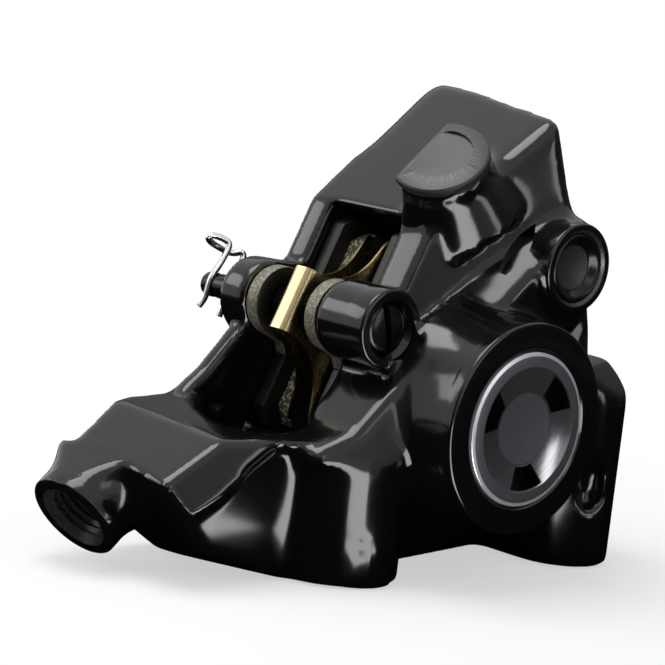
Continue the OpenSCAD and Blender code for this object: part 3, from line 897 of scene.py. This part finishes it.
    def window_tool(self) -> BMesh:
        """Makes the block that clears the pad window."""
        bm = bmesh.new()
        frame = window_frame()
        floor, top, low, high = -self.window_floor, 40, -11.2, 19.0
        corners = [(floor, low), (top, low), (top, high), (floor, high)]
        outline = [frame @ Vector((r, -22.1, l)) for r, l in corners]
        add_prism(bm, outline, ACROSS * 13.2)
        return bm

    def slot_tool(self) -> BMesh:
        """Makes the disc that clears the rotor slot."""
        bm = bmesh.new()
        ends = [ROTOR_AXIS + ACROSS * y for y in (-17.7, -13.3)]
        add_rod(bm, *ends, 71.5, segments=256)
        return bm

    def turned_tools(self) -> list[tuple[Profile, Matrix, int]]:
        """Lists the turned tools, as profile, place and faces around.

        Returns:
            The bores with the cap's seat, the pad pin's bore with its counterbore, the valve
            boss, the hose port and the two mounting holes.
        """
        face = self.boss_face
        bores = [(0, -29.9), (9.04, -29.9), (9.04, 3.3), (9.39, 3.3), (9.39, 9.4), (9.6, 9.4)]
        bores += [(9.6, face - 0.4), (10.05, face - 0.02), (10.05, face + 1), (0, face + 1)]
        pin = [(0, -31), (2.04, -31), (2.04, -4.9), (3.24, -4.9), (3.24, -1.2), (3.8, -0.4)]
        pin += [(3.8, 2), (0, 2)]
        valve = [(0, -3.8), (2.55, -3.8), (2.55, 2.2), (4.45, 2.2), (4.45, 5.2), (4.85, 5.45)]
        valve += [(4.85, 7), (0, 7)]
        port = [(0, -8), (3.6, -8), *thread(3.6, 4.0, -7, 1, 6)]
        port += [(3.6, -0.95), (4.5, -0.05), (4.5, 1), (0, 1)]
        hole = [(0, -1), (2.6, -1), (2.6, 0.02), (2.1, 0.5), *thread(2.1, 2.4, 0.8, 0.8, 12)]
        hole += [(2.1, 12), (0, 12)]
        return [
            (bores, facing(ACROSS, PISTON_AXIS), 96), (pin, facing(ACROSS, PIN_AXIS), 96),
            (valve, facing(ACROSS, VALVE_AXIS), 96), (port, facing(PORT_DIR, PORT_AT), 72),
            *((hole, Matrix.Translation((x, 0, 0)), 48) for x in MOUNT_X[::-1]),
        ]

    def build(self, nodes: Mapping[str, Object]) -> None:
        """Builds and dresses the casting.

        Args:
            nodes: CAD nodes by name.
        """
        piece = self.blank(nodes["caliper_body"])
        self.soften(piece)
        self.machine(piece)
        self.sort_faces(piece)
        finish_piece(
            piece, [GLOSS_PAINT, PORT_THREAD], Body.CASTING, ["caliper_body"],
        )

    def sort_faces(self, piece: Object) -> None:
        """Numbers the faces of the port's thread and of the valve boss's chamfer.

        The port's mouth has a radius of 4.5 and the chamfer runs from 4.45 to 4.85.

        Args:
            piece: The machined casting.
        """
        for poly in piece.data.polygons:
            at = poly.center
            deep = (at - PORT_AT).dot(PORT_DIR)
            port = (at - PORT_AT - PORT_DIR * deep).length < 4.55 and -8.2 < deep < -0.02
            valve = ((at - VALVE_AXIS) * FLAT).length
            edge = 4.46 < valve < 4.9 and 5.18 < at.y < 5.7
            poly.material_index = int(port or edge)


# ---- cap, plug, cover


@dataclass
class BoreCap:
    """Threaded cap of the outboard bore with a conical dish and three pin recesses.

    Attributes:
        face: Place of the cap's face.
        rim_r: Outer radius.
        bevel: Width of the bright chamfer.
        flat_r: Outer radius of the flat ring inside the chamfer.
        dish_r: Outer radius of the dish.
        hub_r: Radius of the flat middle.
        hub_drop: Depth of the middle below the face.
        recess_angles: Middle angles of the recesses in degrees.
        recess_half: Half width of a recess in degrees.
        recess_radii: Outer and inner radius of the recesses.
    """

    face: float = 11.3
    rim_r: float = 9.55
    bevel: float = 0.45
    flat_r: float = 8.75
    dish_r: float = 7.8
    hub_r: float = 4.45
    hub_drop: float = 0.75
    recess_angles: tuple[float, ...] = (19, 140, 263)
    recess_half: float = 21.5
    recess_radii: tuple[float, float] = (7.65, 4.65)

    def recess_tool(self, angle: float) -> BMesh:
        """Makes the wedge that cuts one recess.

        Args:
            angle: Middle angle in degrees.

        Returns:
            The tool.
        """
        lo, hi = angle - self.recess_half, angle + self.recess_half
        outer, inner = self.recess_radii
        outline = arc((0, 0), outer, lo, hi, 10) + arc((0, 0), inner, hi - 3, lo + 3, 6)
        bm = bmesh.new()
        ring = [PISTON_AXIS + Vector((x, self.face + 1, z)) for x, z in outline]
        far = add_prism(bm, ring, ACROSS * -3.6)
        middle = sum((v.co for v in far), Vector()) / len(far)
        bmesh.ops.scale(bm, vec=(0.86, 1, 0.86), verts=far, space=Matrix.Translation(-middle))
        return bm

    def build(self) -> None:
        """Builds and dresses the cap."""
        bm = bmesh.new()
        face, rim_r, hub = self.face, self.rim_r, self.face - self.hub_drop
        profile = [
            (0, 2.8), (9.3, 2.8), (9.3, 9.42), (rim_r, 9.42), (rim_r, face - 0.24),
            (rim_r - 0.06, face - 0.18), (rim_r - self.bevel, face - 0.09), (self.flat_r, face),
            (self.dish_r, face), (self.dish_r - 0.08, face - 0.04), (self.hub_r, hub), (0, hub),
        ]
        add_lathe(bm, profile, facing(ACROSS, PISTON_AXIS), 144)
        piece = link("cap", bm)
        for angle in self.recess_angles:
            cut(piece, self.recess_tool(angle))
        for poly in piece.data.polygons:
            out = (poly.center - PISTON_AXIS) * FLAT
            # Faces deep in the recesses take near-black paint as painted shade.
            deep = poly.center.y < hub - 0.1
            cone = self.hub_r < out.length < self.dish_r
            rim = out.length > rim_r - self.bevel
            poly.material_index = 1 if rim else 2 if deep else 3 if cone else 0
        finish_piece(
            piece, [BLASTED_ALLOY, TURNED_ALLOY, RECESS_PAINTED_SHADE, TURNED_CONE], Body.CASTING,
            ["bore_cap"], 25,
        )


@dataclass
class ValvePlug:
    """Rubber plug with a lip and a sunk middle.

    Attributes:
        face: Place of the lip.
        r: Outer radius.
        disc_r: Radius of the sunk middle.
    """

    face: float = 5.42
    r: float = 4.4
    disc_r: float = 2.8

    def build(self) -> None:
        """Builds and dresses the plug."""
        bm = bmesh.new()
        lip = arc((self.r - 0.35, self.face - 0.35), 0.35, 0, 90, 5)
        profile = [(0, 2.3), (self.r, 2.3), *lip, (self.disc_r + 1.1, self.face)]
        slope = ((0.75, 0.25), (0.25, 0.8), (0, 1.0))
        profile += [(self.disc_r + out, self.face - down) for out, down in slope]
        profile += [(0, self.face - 1.0)]
        add_lathe(bm, profile, facing(ACROSS, VALVE_AXIS))
        piece = link("valve_boss_plug", bm)
        for poly in piece.data.polygons:
            out = ((poly.center - VALVE_AXIS) * FLAT).length
            poly.material_index = 1 if out > self.disc_r else 0
        finish_piece(
            piece, [MATT_RUBBER, BLACK_OXIDE], Body.VALVE_PLUG, ["valve_plug"], 40,
        )


@dataclass
class BleedCover:
    """D-shaped rubber cover with a sloping C-shaped rim and a sunk panel.

    Attributes:
        r: Radius of the round side.
        chord: Distance of the straight side from the middle.
        seat: Height of its underside over the boss's root.
        thick: Thickness.
        rim: Width of the C-shaped rim.
        lap: How far the sunk panel runs out past the straight side.
    """

    r: float = 6.2
    chord: float = 3.0
    seat: float = 3.95
    thick: float = 1.8
    rim: float = 2.0
    lap: float = 0.4

    def frame(self) -> Matrix:
        """Frame with Z out of the cover and X towards its straight side."""
        x = (CHORD_DIR - BLEED_DIR * CHORD_DIR.dot(BLEED_DIR)).normalized()
        y = BLEED_DIR.cross(x)
        turn = Matrix((x, y, BLEED_DIR)).transposed().to_4x4()
        return Matrix.Translation(BLEED_AT + BLEED_DIR * self.seat) @ turn

    def outline(self, inset: float, height: float, open_side: bool = False) -> list[Vector]:
        """Outline of the D at an inset.

        Args:
            inset: Distance inside the outer edge.
            height: Height in the cover's frame.
            open_side: Whether it runs out past the straight side.

        Returns:
            Corner points in millimetres.
        """
        r = self.r - inset
        flat = self.chord + (self.lap if open_side else -inset)
        half = math.degrees(math.acos(max(-1.0, min(1.0, flat / r))))
        place = self.frame()
        return [place @ Vector((x, y, height)) for x, y in arc((0, 0), r, half, 360 - half, 44)]

    def add_stack(self, bm: BMesh, rings: Profile) -> None:
        """Adds a closed stack of D outlines.

        Args:
            bm: Mesh that takes it.
            rings: Inset and height of each outline, from below.
        """
        loops = []
        for inset, height in rings:
            verts = [bm.verts.new(p) for p in self.outline(inset, height)]
            loops.append([bm.edges.new(pair) for pair in zip(verts, verts[1:] + verts[:1])])
        for low, high in zip(loops, loops[1:]):
            bmesh.ops.bridge_loops(bm, edges=low + high)
        for end in (loops[0], loops[-1]):
            bmesh.ops.contextual_create(bm, geom=end)
        bmesh.ops.recalc_face_normals(bm, faces=bm.faces[:])

    def build(self) -> None:
        """Builds and dresses the cover."""
        bm = bmesh.new()
        foot = [(0.5, 0.0), (0.12, 0.12), (0.0, 0.35)]
        panel = [(0.0, 0.75), (0.1, 0.62), (0.2, 0.55)]
        self.add_stack(bm, foot + [(inset, self.thick - down) for inset, down in panel])
        piece = link("d_cover", bm)
        self.add_rim(piece)
        finish_piece(
            piece, [MATT_RUBBER, BRUSHED_RUBBER], Body.COVER, ["bleed_cover"], 28,
        )

    def add_rim(self, piece: Object) -> None:
        """Joins the C-shaped rim onto the cover.

        Args:
            piece: The flat cover.
        """
        bm = bmesh.new()
        rim = ((0.2, self.thick - 0.7), (0.2, self.thick - 0.5), (self.rim, self.thick))
        self.add_stack(bm, rim)
        cut(piece, bm, "UNION")
        pocket = bmesh.new()
        add_prism(pocket, self.outline(self.rim, self.thick - 0.35, True), BLEED_DIR * 2)
        cut(piece, pocket)
        frame = self.frame().inverted()
        for poly in piece.data.polygons:
            high = (frame @ poly.center).z
            tilt = poly.normal.dot(BLEED_DIR)
            poly.material_index = 1 if high > self.thick - 0.56 and 0.5 < tilt < 0.999 else 0


# ---- pads, pin, clip, spring


@dataclass
class PadPart:
    """A plate or lining of a pad: the CAD solid with eased corners, a bare edge high up and
    painted shade on its lower edge.

    Attributes:
        node: CAD node that it copies and replaces.
        ease: Width of the eased edge.
        body: Body that it rides on.
        slot: Material slot of the record; not used.
        finishes: Finish of its faces, also laid on its lower edge as painted shade, and of its
            bare edge.
        painted_shade_below: Height over the piston axis from which its edge is bare; below it the
            edge takes the face finish as painted shade.
    """

    node: str
    ease: float
    body: Body
    slot: str
    finishes: tuple[Finish, Finish]
    painted_shade_below: float

    def build(self, nodes: Mapping[str, Object]) -> None:
        """Builds and dresses the copy.

        Args:
            nodes: CAD nodes by name.
        """
        bm = node_copy(nodes[self.node])
        bmesh.ops.dissolve_limit(
            bm, angle_limit=math.radians(2), verts=bm.verts[:], edges=bm.edges[:],
        )
        edges = [e for e in bm.edges if e.calc_face_angle(0) > math.radians(40)]
        bmesh.ops.bevel(
            bm, geom=edges, offset=self.ease, offset_type="OFFSET", affect="EDGES", segments=2,
            profile=0.5, clamp_overlap=True, material=-1,
        )
        back = window_frame().inverted()
        bm.normal_update()
        # Edges low in the window take the dark face finish as painted shade; higher edges show the
        # bare finish.
        for face in bm.faces:
            high = (back @ face.calc_center_median()).x
            face.material_index = int(abs(face.normal.y) < 0.5 and high > self.painted_shade_below)
        piece = link(self.node + "_eased", bm)
        finish_piece(piece, self.finishes, self.body, [self.node], 35)


@dataclass
class PadPin:
    """Slotted retaining pin of the pads.

    Attributes:
        r: Shank radius.
        tip_r: Radius of the thin end.
        head_r: Radius of the head.
        slot_angle: Angle of the driver slot from X, in degrees.
    """

    r: float = 2.0
    tip_r: float = 1.6
    head_r: float = 3.2
    slot_angle: float = 76.0

    def build(self) -> None:
        """Builds and dresses the pin."""
        bm = bmesh.new()
        dome = arc((self.head_r - 0.9, -1.75), 0.9, 0, 80, 6)
        tip, groove = self.tip_r, self.tip_r - 0.6
        profile = [
            (0, -34.6), (tip - 0.5, -34.6), (tip - 0.12, -34.42), (tip, -34.15), (tip, -33.15),
            (groove, -33.1), (groove, -32.1), (tip, -32.05), (tip, -27.6), (self.r, -27.4),
            (self.r, -4.8), (self.head_r, -4.8), *dome, (1.4, -0.78), (0, -0.72),
        ]
        add_lathe(bm, profile, facing(ACROSS, PIN_AXIS), 64)
        piece = link("retaining_pin", bm)
        slot = bmesh.new()
        turn = Matrix.Rotation(-math.radians(self.slot_angle), 4, "Y")
        place = Matrix.Translation(PIN_AXIS + ACROSS * -1.0) @ turn
        bmesh.ops.create_cube(slot, size=1.0, matrix=place @ Matrix.Diagonal((9, 2.6, 1.0, 1)))
        cut(piece, slot)
        finish_piece(piece, [BLACK_OXIDE], Body.PIN, ["pad_pin"], 30)


@dataclass
class PinClip:
    """Bent wire clip over the pin's groove, with a finger loop.

    Attributes:
        wire_r: Radius of the wire.
        y: Place of the clip across the caliper.
    """

    wire_r: float = 0.42
    y: float = -32.6

    def path(self) -> list[Vector]:
        """Gives the wire's bends in order."""
        front = [(2.68, -0.3, -2.7), (2.08, -0.1, -1.9), (1.78, 0, -0.8), (1.58, 0, 0.3)]
        front += [(1.18, 0, 1.4), (0.3, 0, 2.5), (-0.6, -0.1, 3.8), (-1.4, -0.3, 4.9)]
        loop = [(-1.5, -0.6, 5.6), (-0.8, -1, 6), (0.2, -1.5, 6.3), (0.8, -1.8, 6.2)]
        loop += [(1, -1.9, 5.8), (0.2, -1.8, 5.2), (-1.2, -1.7, 4.6), (-2.4, -1.4, 4.1)]
        loop += [(-3.2, -0.9, 4.1), (-3.7, -0.4, 4.4)]
        rear = [(-4, -0.2, 3.9), (-3.5, 0, 2.9), (-2.6, 0, 1.8), (-1.68, 0, 0.8)]
        rear += [(-1.58, 0, -0.4), (-1.58, 0, -1.8), (-1.1, -0.1, -3), (-0.8, -0.1, -4.1)]
        return [PIN_AXIS + Vector((x, self.y + y, z)) for x, y, z in front + loop + rear]

    def build(self) -> None:
        """Builds and dresses the clip."""
        curve = bpy.data.curves.new("clip_path", "CURVE")
        curve.dimensions = "3D"
        curve.bevel_depth = self.wire_r
        curve.bevel_resolution = 5
        curve.resolution_u = 8
        curve.use_fill_caps = True
        points = self.path()
        spline = curve.splines.new("NURBS")
        spline.points.add(len(points) - 1)
        for point, place in zip(spline.points, points):
            point.co = (*place, 1.0)
        spline.use_endpoint_u = True
        spline.order_u = 3
        holder = show("clip_holder", curve)
        bpy.context.view_layer.update()
        graph = bpy.context.evaluated_depsgraph_get()
        mesh = bpy.data.meshes.new_from_object(holder.evaluated_get(graph))
        bpy.data.objects.remove(holder)
        piece = show("wire_clip", mesh)
        finish_piece(piece, [BRIGHT_WIRE], Body.CLIP, ["pin_clip"], 40)


@dataclass
class PadSpring:
    """Folded sheet spring that straddles the pin and spreads the pads.

    Attributes:
        sheet: Thickness of the sheet.
        half: Half width of the fold at the middle of the sheet.
        top: Height of the fold over the piston axis.
        bend: Radius of the fold's corners.
        middle: Place of its middle along the window.
        fold_half: Half width of the fold along the window.
        leaf: Length of a leaf beyond the fold's width.
        sag: How far the middle of the inner edge hangs down.
        spread: How far the ends of the leaves spread to the pads.
        columns: Places of a row's points, from one edge at -1 to the other at 1.
    """

    sheet: float = 0.3
    half: float = 1.5
    top: float = 20.35
    bend: float = 0.85
    middle: float = 3.9
    fold_half: float = 4.2
    leaf: float = 9.0
    sag: float = 0.5
    spread: float = 0.5
    columns: tuple[float, ...] = tuple(c / 8 for c in range(-8, 9))

    def edge(self) -> Profile:
        """Gives the outer edge of a flank, as height and half width along the window."""
        waist = [(19.5, 4.2), (18.6, 4.2), (17.6, 4.3), (16.4, 4.6), (15.0, 5.2), (13.7, 6.1)]
        leaf = [(12.8, 7.0), (12.1, 8.1), (11.6, 9.2), (11.15, 10.8), (10.8, 12.1)]
        return waist + leaf + [(10.5, 12.7), (10.1, 12.9), (9.7, 12.8)]

    def flank(self, side: int) -> list[list[Vector]]:
        """Gives the points of one flank, row by row from the fold down.

        Args:
            side: -1 for the inboard flank, 1 for the outboard one.

        Returns:
            Rows of points.
        """
        place, edge = window_frame(ROTOR_PLANE), self.edge()
        rows = []
        for step, (high, wide) in enumerate(edge):
            sag = self.sag * (step / (len(edge) - 1)) ** 2
            row = []
            for u in self.columns:
                beyond = max(0.0, (abs(u) * wide - self.fold_half) / self.leaf)
                out = side * (self.half + self.spread * beyond**1.5)
                row.append(place @ Vector((high - sag * (1 - u * u), out, self.middle + u * wide)))
            rows.append(row)
        return rows

    def build(self) -> None:
        """Builds and dresses the spring."""
        bm = bmesh.new()
        place = window_frame(ROTOR_PLANE)
        low, side = self.top - self.bend, self.half - self.bend
        section = arc((-side, low), self.bend, 180, 90, 8)
        section += arc((side, low), self.bend, 90, 0, 8)
        fold = [
            [place @ Vector((z, y, self.middle + u * self.fold_half)) for u in self.columns]
            for y, z in section[1:-1]
        ]
        grid = self.flank(-1)[::-1] + fold + self.flank(1)
        verts = [[bm.verts.new(p) for p in row] for row in grid]
        for near, far in zip(verts, verts[1:]):
            for i in range(len(near) - 1):
                bm.faces.new((near[i], near[i + 1], far[i + 1], far[i]))
        bmesh.ops.recalc_face_normals(bm, faces=bm.faces[:])
        piece = link("sheet_spring", bm)
        wall = piece.modifiers.new("wall", "SOLIDIFY")
        wall.thickness = self.sheet
        wall.offset = 0.0
        bake(piece)
        finish_piece(piece, [SPRING_SHEET], Body.CASTING, ["pad_spring"], 35)
        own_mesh(piece)


# ---- studio


@dataclass
class SoftBox:
    """One soft lamp.

    Attributes:
        name: Its name.
        azimuth: Direction from the caliper, in degrees from X towards Y.
        height: Angle over the horizon in degrees.
        far: Distance from the caliper.
        size: Width and height.
        level: Brightness of its face, where 1 is white.
    """

    name: str
    azimuth: float
    height: float
    far: float
    size: tuple[float, float]
    level: float

    def build(self, aim: Vector) -> None:
        """Adds the lamp, facing the caliper.

        Args:
            aim: Point that it faces.
        """
        turn, lift = math.radians(self.azimuth), math.radians(self.height)
        out = Vector(
            (math.cos(turn) * math.cos(lift), math.sin(turn) * math.cos(lift), math.sin(lift))
        )
        light = bpy.data.lights.new(self.name, "AREA")
        light.shape = "RECTANGLE"
        light.size, light.size_y = self.size[0] * MM, self.size[1] * MM
        light.energy = self.level * math.pi * light.size * light.size_y
        lamp = show(self.name, light)
        lamp.location = (aim + out * self.far) * MM
        lamp.rotation_euler = out.to_track_quat("Z", "Y").to_euler()


@dataclass
class Card:
    """Upright curved card, or a flat one on the floor, seen only in reflections.

    Attributes:
        name: Its name.
        azimuths: First and last direction in degrees from X towards Y.
        radii: Distance of its first and last edge from the caliper.
        heights: Height of its first and last edge.
        levels: Brightness at its first and last edge.
    """

    name: str
    azimuths: tuple[float, float]
    radii: tuple[float, float]
    heights: tuple[float, float]
    levels: tuple[float, float]

    def build(self, aim: Vector) -> None:
        """Adds the card.

        Args:
            aim: Point that it stands round.
        """
        bm = bmesh.new()
        rows = []
        steps = 2 + int(abs(self.azimuths[1] - self.azimuths[0]) / 6)
        for radius, height in zip(self.radii, self.heights):
            ring = arc((aim.x, aim.y), radius, *self.azimuths, steps)
            verts = [bm.verts.new((x, y, height)) for x, y in ring]
            rows.append([bm.edges.new(pair) for pair in zip(verts, verts[1:])])
        bmesh.ops.bridge_loops(bm, edges=rows[0] + rows[1])
        piece = link(self.name, bm)
        piece.data.transform(Matrix.Scale(MM, 4))
        piece.data.materials.append(self.material())
        for ray in ("camera", "diffuse", "transmission", "volume_scatter", "shadow"):
            setattr(piece, "visible_" + ray, False)

    def material(self) -> Material:
        """Makes the card's glow, which runs from its first to its last edge.

        Returns:
            The material.
        """
        made = bpy.data.materials.new(self.name)
        tree = fresh_tree(made)
        split = add_node(tree, "SeparateXYZ", links={"Vector": object_place(tree)})
        low, high = self.heights
        # A card on the floor has no height to run over, so it keeps its first level.
        start = (low * MM, max(high, low + 1) * MM)
        run = ranged(tree, split.outputs["Z"], self.levels, start)
        glow = add_node(tree, "Emission", links={"Strength": run})
        add_node(tree, "OutputMaterial", links={"Surface": glow.outputs[0]})
        return made


@dataclass
class Studio:
    """Pale floor, soft lamps and the camera at the photograph's angle.

    Attributes:
        aim: Middle of the caliper.
        camera_at: Place of the camera.
        camera_axes: The camera's right, up and rear directions.
        lens: Focal length for a 36 mm sensor.
        floor_r: Radius of the floor.
        floor_glow: Share of plain white in the floor by the caliper.
        floor_fade: Where the floor starts and ends turning to plain white, in metres.
    """

    aim: tuple[float, float, float] = (10, -10, 22)
    camera_at: tuple[float, float, float] = (244.6, 228.1, 73.8)
    camera_axes: tuple[tuple[float, float, float], ...] = (
        (-0.7296, 0.6748, 0.1144), (-0.0093, -0.1770, 0.9842), (0.6844, 0.7170, 0.1353),
    )
    lens: float = 146.17
    floor_r: float = 2500
    floor_glow: float = 0.55
    floor_fade: tuple[float, float] = (0.045, 0.11)

    def camera(self) -> None:
        """Adds the camera."""
        data = bpy.data.cameras.new("camera")
        data.lens, data.sensor_width = self.lens, 36.0
        data.clip_start, data.clip_end = 0.01, 20.0
        made = show("camera", data)
        turn = Matrix(self.camera_axes).transposed().to_4x4()
        made.matrix_world = Matrix.Translation(Vector(self.camera_at) * MM) @ turn
        bpy.context.scene.camera = made

    def white_seen(self, tree: NodeTree) -> NodeSocket:
        """Gives a factor that is 1 for camera, glossy and transmission rays.

        Args:
            tree: Node tree of the world or of the floor.

        Returns:
            The factor's socket.
        """
        path = add_node(tree, "LightPath")
        seen = path.outputs["Is Camera Ray"]
        for kind in ("Is Glossy Ray", "Is Transmission Ray"):
            links = {0: seen, 1: path.outputs[kind]}
            seen = add_node(tree, "Math", {"operation": "MAXIMUM"}, links).outputs[0]
        return seen

    def world(self) -> None:
        """Makes the world white where it is seen and dim where it lights."""
        world = bpy.data.worlds.new("studio")
        tree = fresh_tree(world)
        level = ranged(tree, self.white_seen(tree), (0.5, 1.0))
        back = add_node(tree, "Background", {"Color": (1, 1, 1, 1)}, {"Strength": level})
        add_node(tree, "OutputWorld", links={"Surface": back.outputs[0]})
        bpy.context.scene.world = world

    def floor(self) -> None:
        """Adds the pale floor, which turns to plain white away from the caliper."""
        bm = bmesh.new()
        bmesh.ops.create_circle(bm, cap_ends=True, segments=96, radius=self.floor_r)
        bmesh.ops.translate(bm, verts=bm.verts[:], vec=(0, 0, -0.1))
        piece = link("floor", bm)
        piece.data.transform(Matrix.Scale(MM, 4))
        made = bpy.data.materials.new("pale_floor")
        tree = fresh_tree(made)
        paint = add_node(tree, "BsdfDiffuse", {"Color": (0.9, 0.9, 0.9, 1)})
        glow = add_node(tree, "Emission", {"Color": (1, 1, 1, 1), "Strength": 1.0})
        far = add_node(tree, "VectorMath", {"operation": "LENGTH"}, {0: object_place(tree)})
        fade = ranged(tree, far.outputs["Value"], (self.floor_glow, 1.0), self.floor_fade)
        share = add_node(
            tree, "Math", {"operation": "MULTIPLY"}, {0: fade, 1: self.white_seen(tree)},
        )
        mixed = add_node(
            tree, "MixShader",
            links={0: share.outputs[0], 1: paint.outputs[0], 2: glow.outputs[0]},
        )
        add_node(tree, "OutputMaterial", links={"Surface": mixed.outputs[0]})
        piece.data.materials.append(made)

    def build(self) -> None:
        """Builds the camera, the world, the floor, the lamps and the cards."""
        bpy.context.scene.view_settings.view_transform = "Standard"
        self.camera()
        self.world()
        self.floor()
        aim, wall = Vector(self.aim), (305, 305)
        for box in (
            SoftBox("top_box", -35, 72, 330, (230, 170), 6.0),
            SoftBox("back_box", -52, 25, 350, (150, 130), 3.6),
            SoftBox("side_box", 70, 30, 420, (90, 160), 1.6),
        ):
            box.build(aim)
        for card in (
            Card("dark_floor", (0, 360), (2, 300), (-0.04, -0.05), (0.0, 0.0)),
            Card("dark_wall", (121, 205), wall, (-2, 240), (0.0, 0.25)),
            Card("dim_wall", (88, 112), wall, (-2, 240), (0.45, 0.8)),
            Card("cap_strip", (109, 121), wall, (-2, 140), (4.0, 4.0)),
            Card("rear_wall", (205, 252), wall, (-2, 200), (0.12, 0.3)),
            Card("front_wall", (-15, 62), wall, (-2, 200), (0.0, 0.3)),
            Card("column_strip", (62, 88), (30, 300), (-0.02, -0.03), (9.0, 9.0)),
        ):
            card.build(aim)


# ---- assembly


def dress_nodes(nodes: Mapping[str, Object]) -> None:
    """Gives the CAD nodes that stay their finishes.

    Args:
        nodes: CAD nodes by name.
    """
    wear = {
        "bore_cap_ring": SEAL_RUBBER, "outboard_piston": PISTON_RESIN,
        "inboard_piston": PISTON_RESIN, "outboard_piston_seal": SEAL_RUBBER,
        "inboard_piston_seal": SEAL_RUBBER, "bleed_nipple": PLAIN_STEEL,
        "valve_screw": PLAIN_STEEL, "valve_screw_ring": SEAL_RUBBER,
        "crossway_plug": BLACK_OXIDE, "port_plug": BLACK_OXIDE,
    }
    for name, finish in wear.items():
        mesh = nodes[name].data
        mesh.materials.clear()
        mesh.materials.append(finish.material())


def main() -> None:
    """Builds the caliper's pieces in order and reports each one."""
    logging.basicConfig(level=logging.INFO, format="%(name)s: %(message)s")
    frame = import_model()
    nodes = frame["nodes"]
    dress_nodes(nodes)
    Casting().build(nodes)
    BoreCap().build()
    ValvePlug().build()
    BleedCover().build()
    for side, body in (("outboard", Body.OUTBOARD_PAD), ("inboard", Body.INBOARD_PAD)):
        plate = (PHOSPHATE_AND_EDGE_SHADE, PLATED_STEEL)
        PadPart(side + "_pad_plate", 0.2, body, "pad_steel", plate, 13.0).build(nodes)
        lining = (LINING_SKIN_AND_SHADE, LINING)
        PadPart(side + "_pad_lining", 0.15, body, "lining_resin", lining, 9.5).build(nodes)
    PadPin().build()
    PinClip().build()
    PadSpring().build()
    Studio().build()


if __name__ == "__main__":
    main()
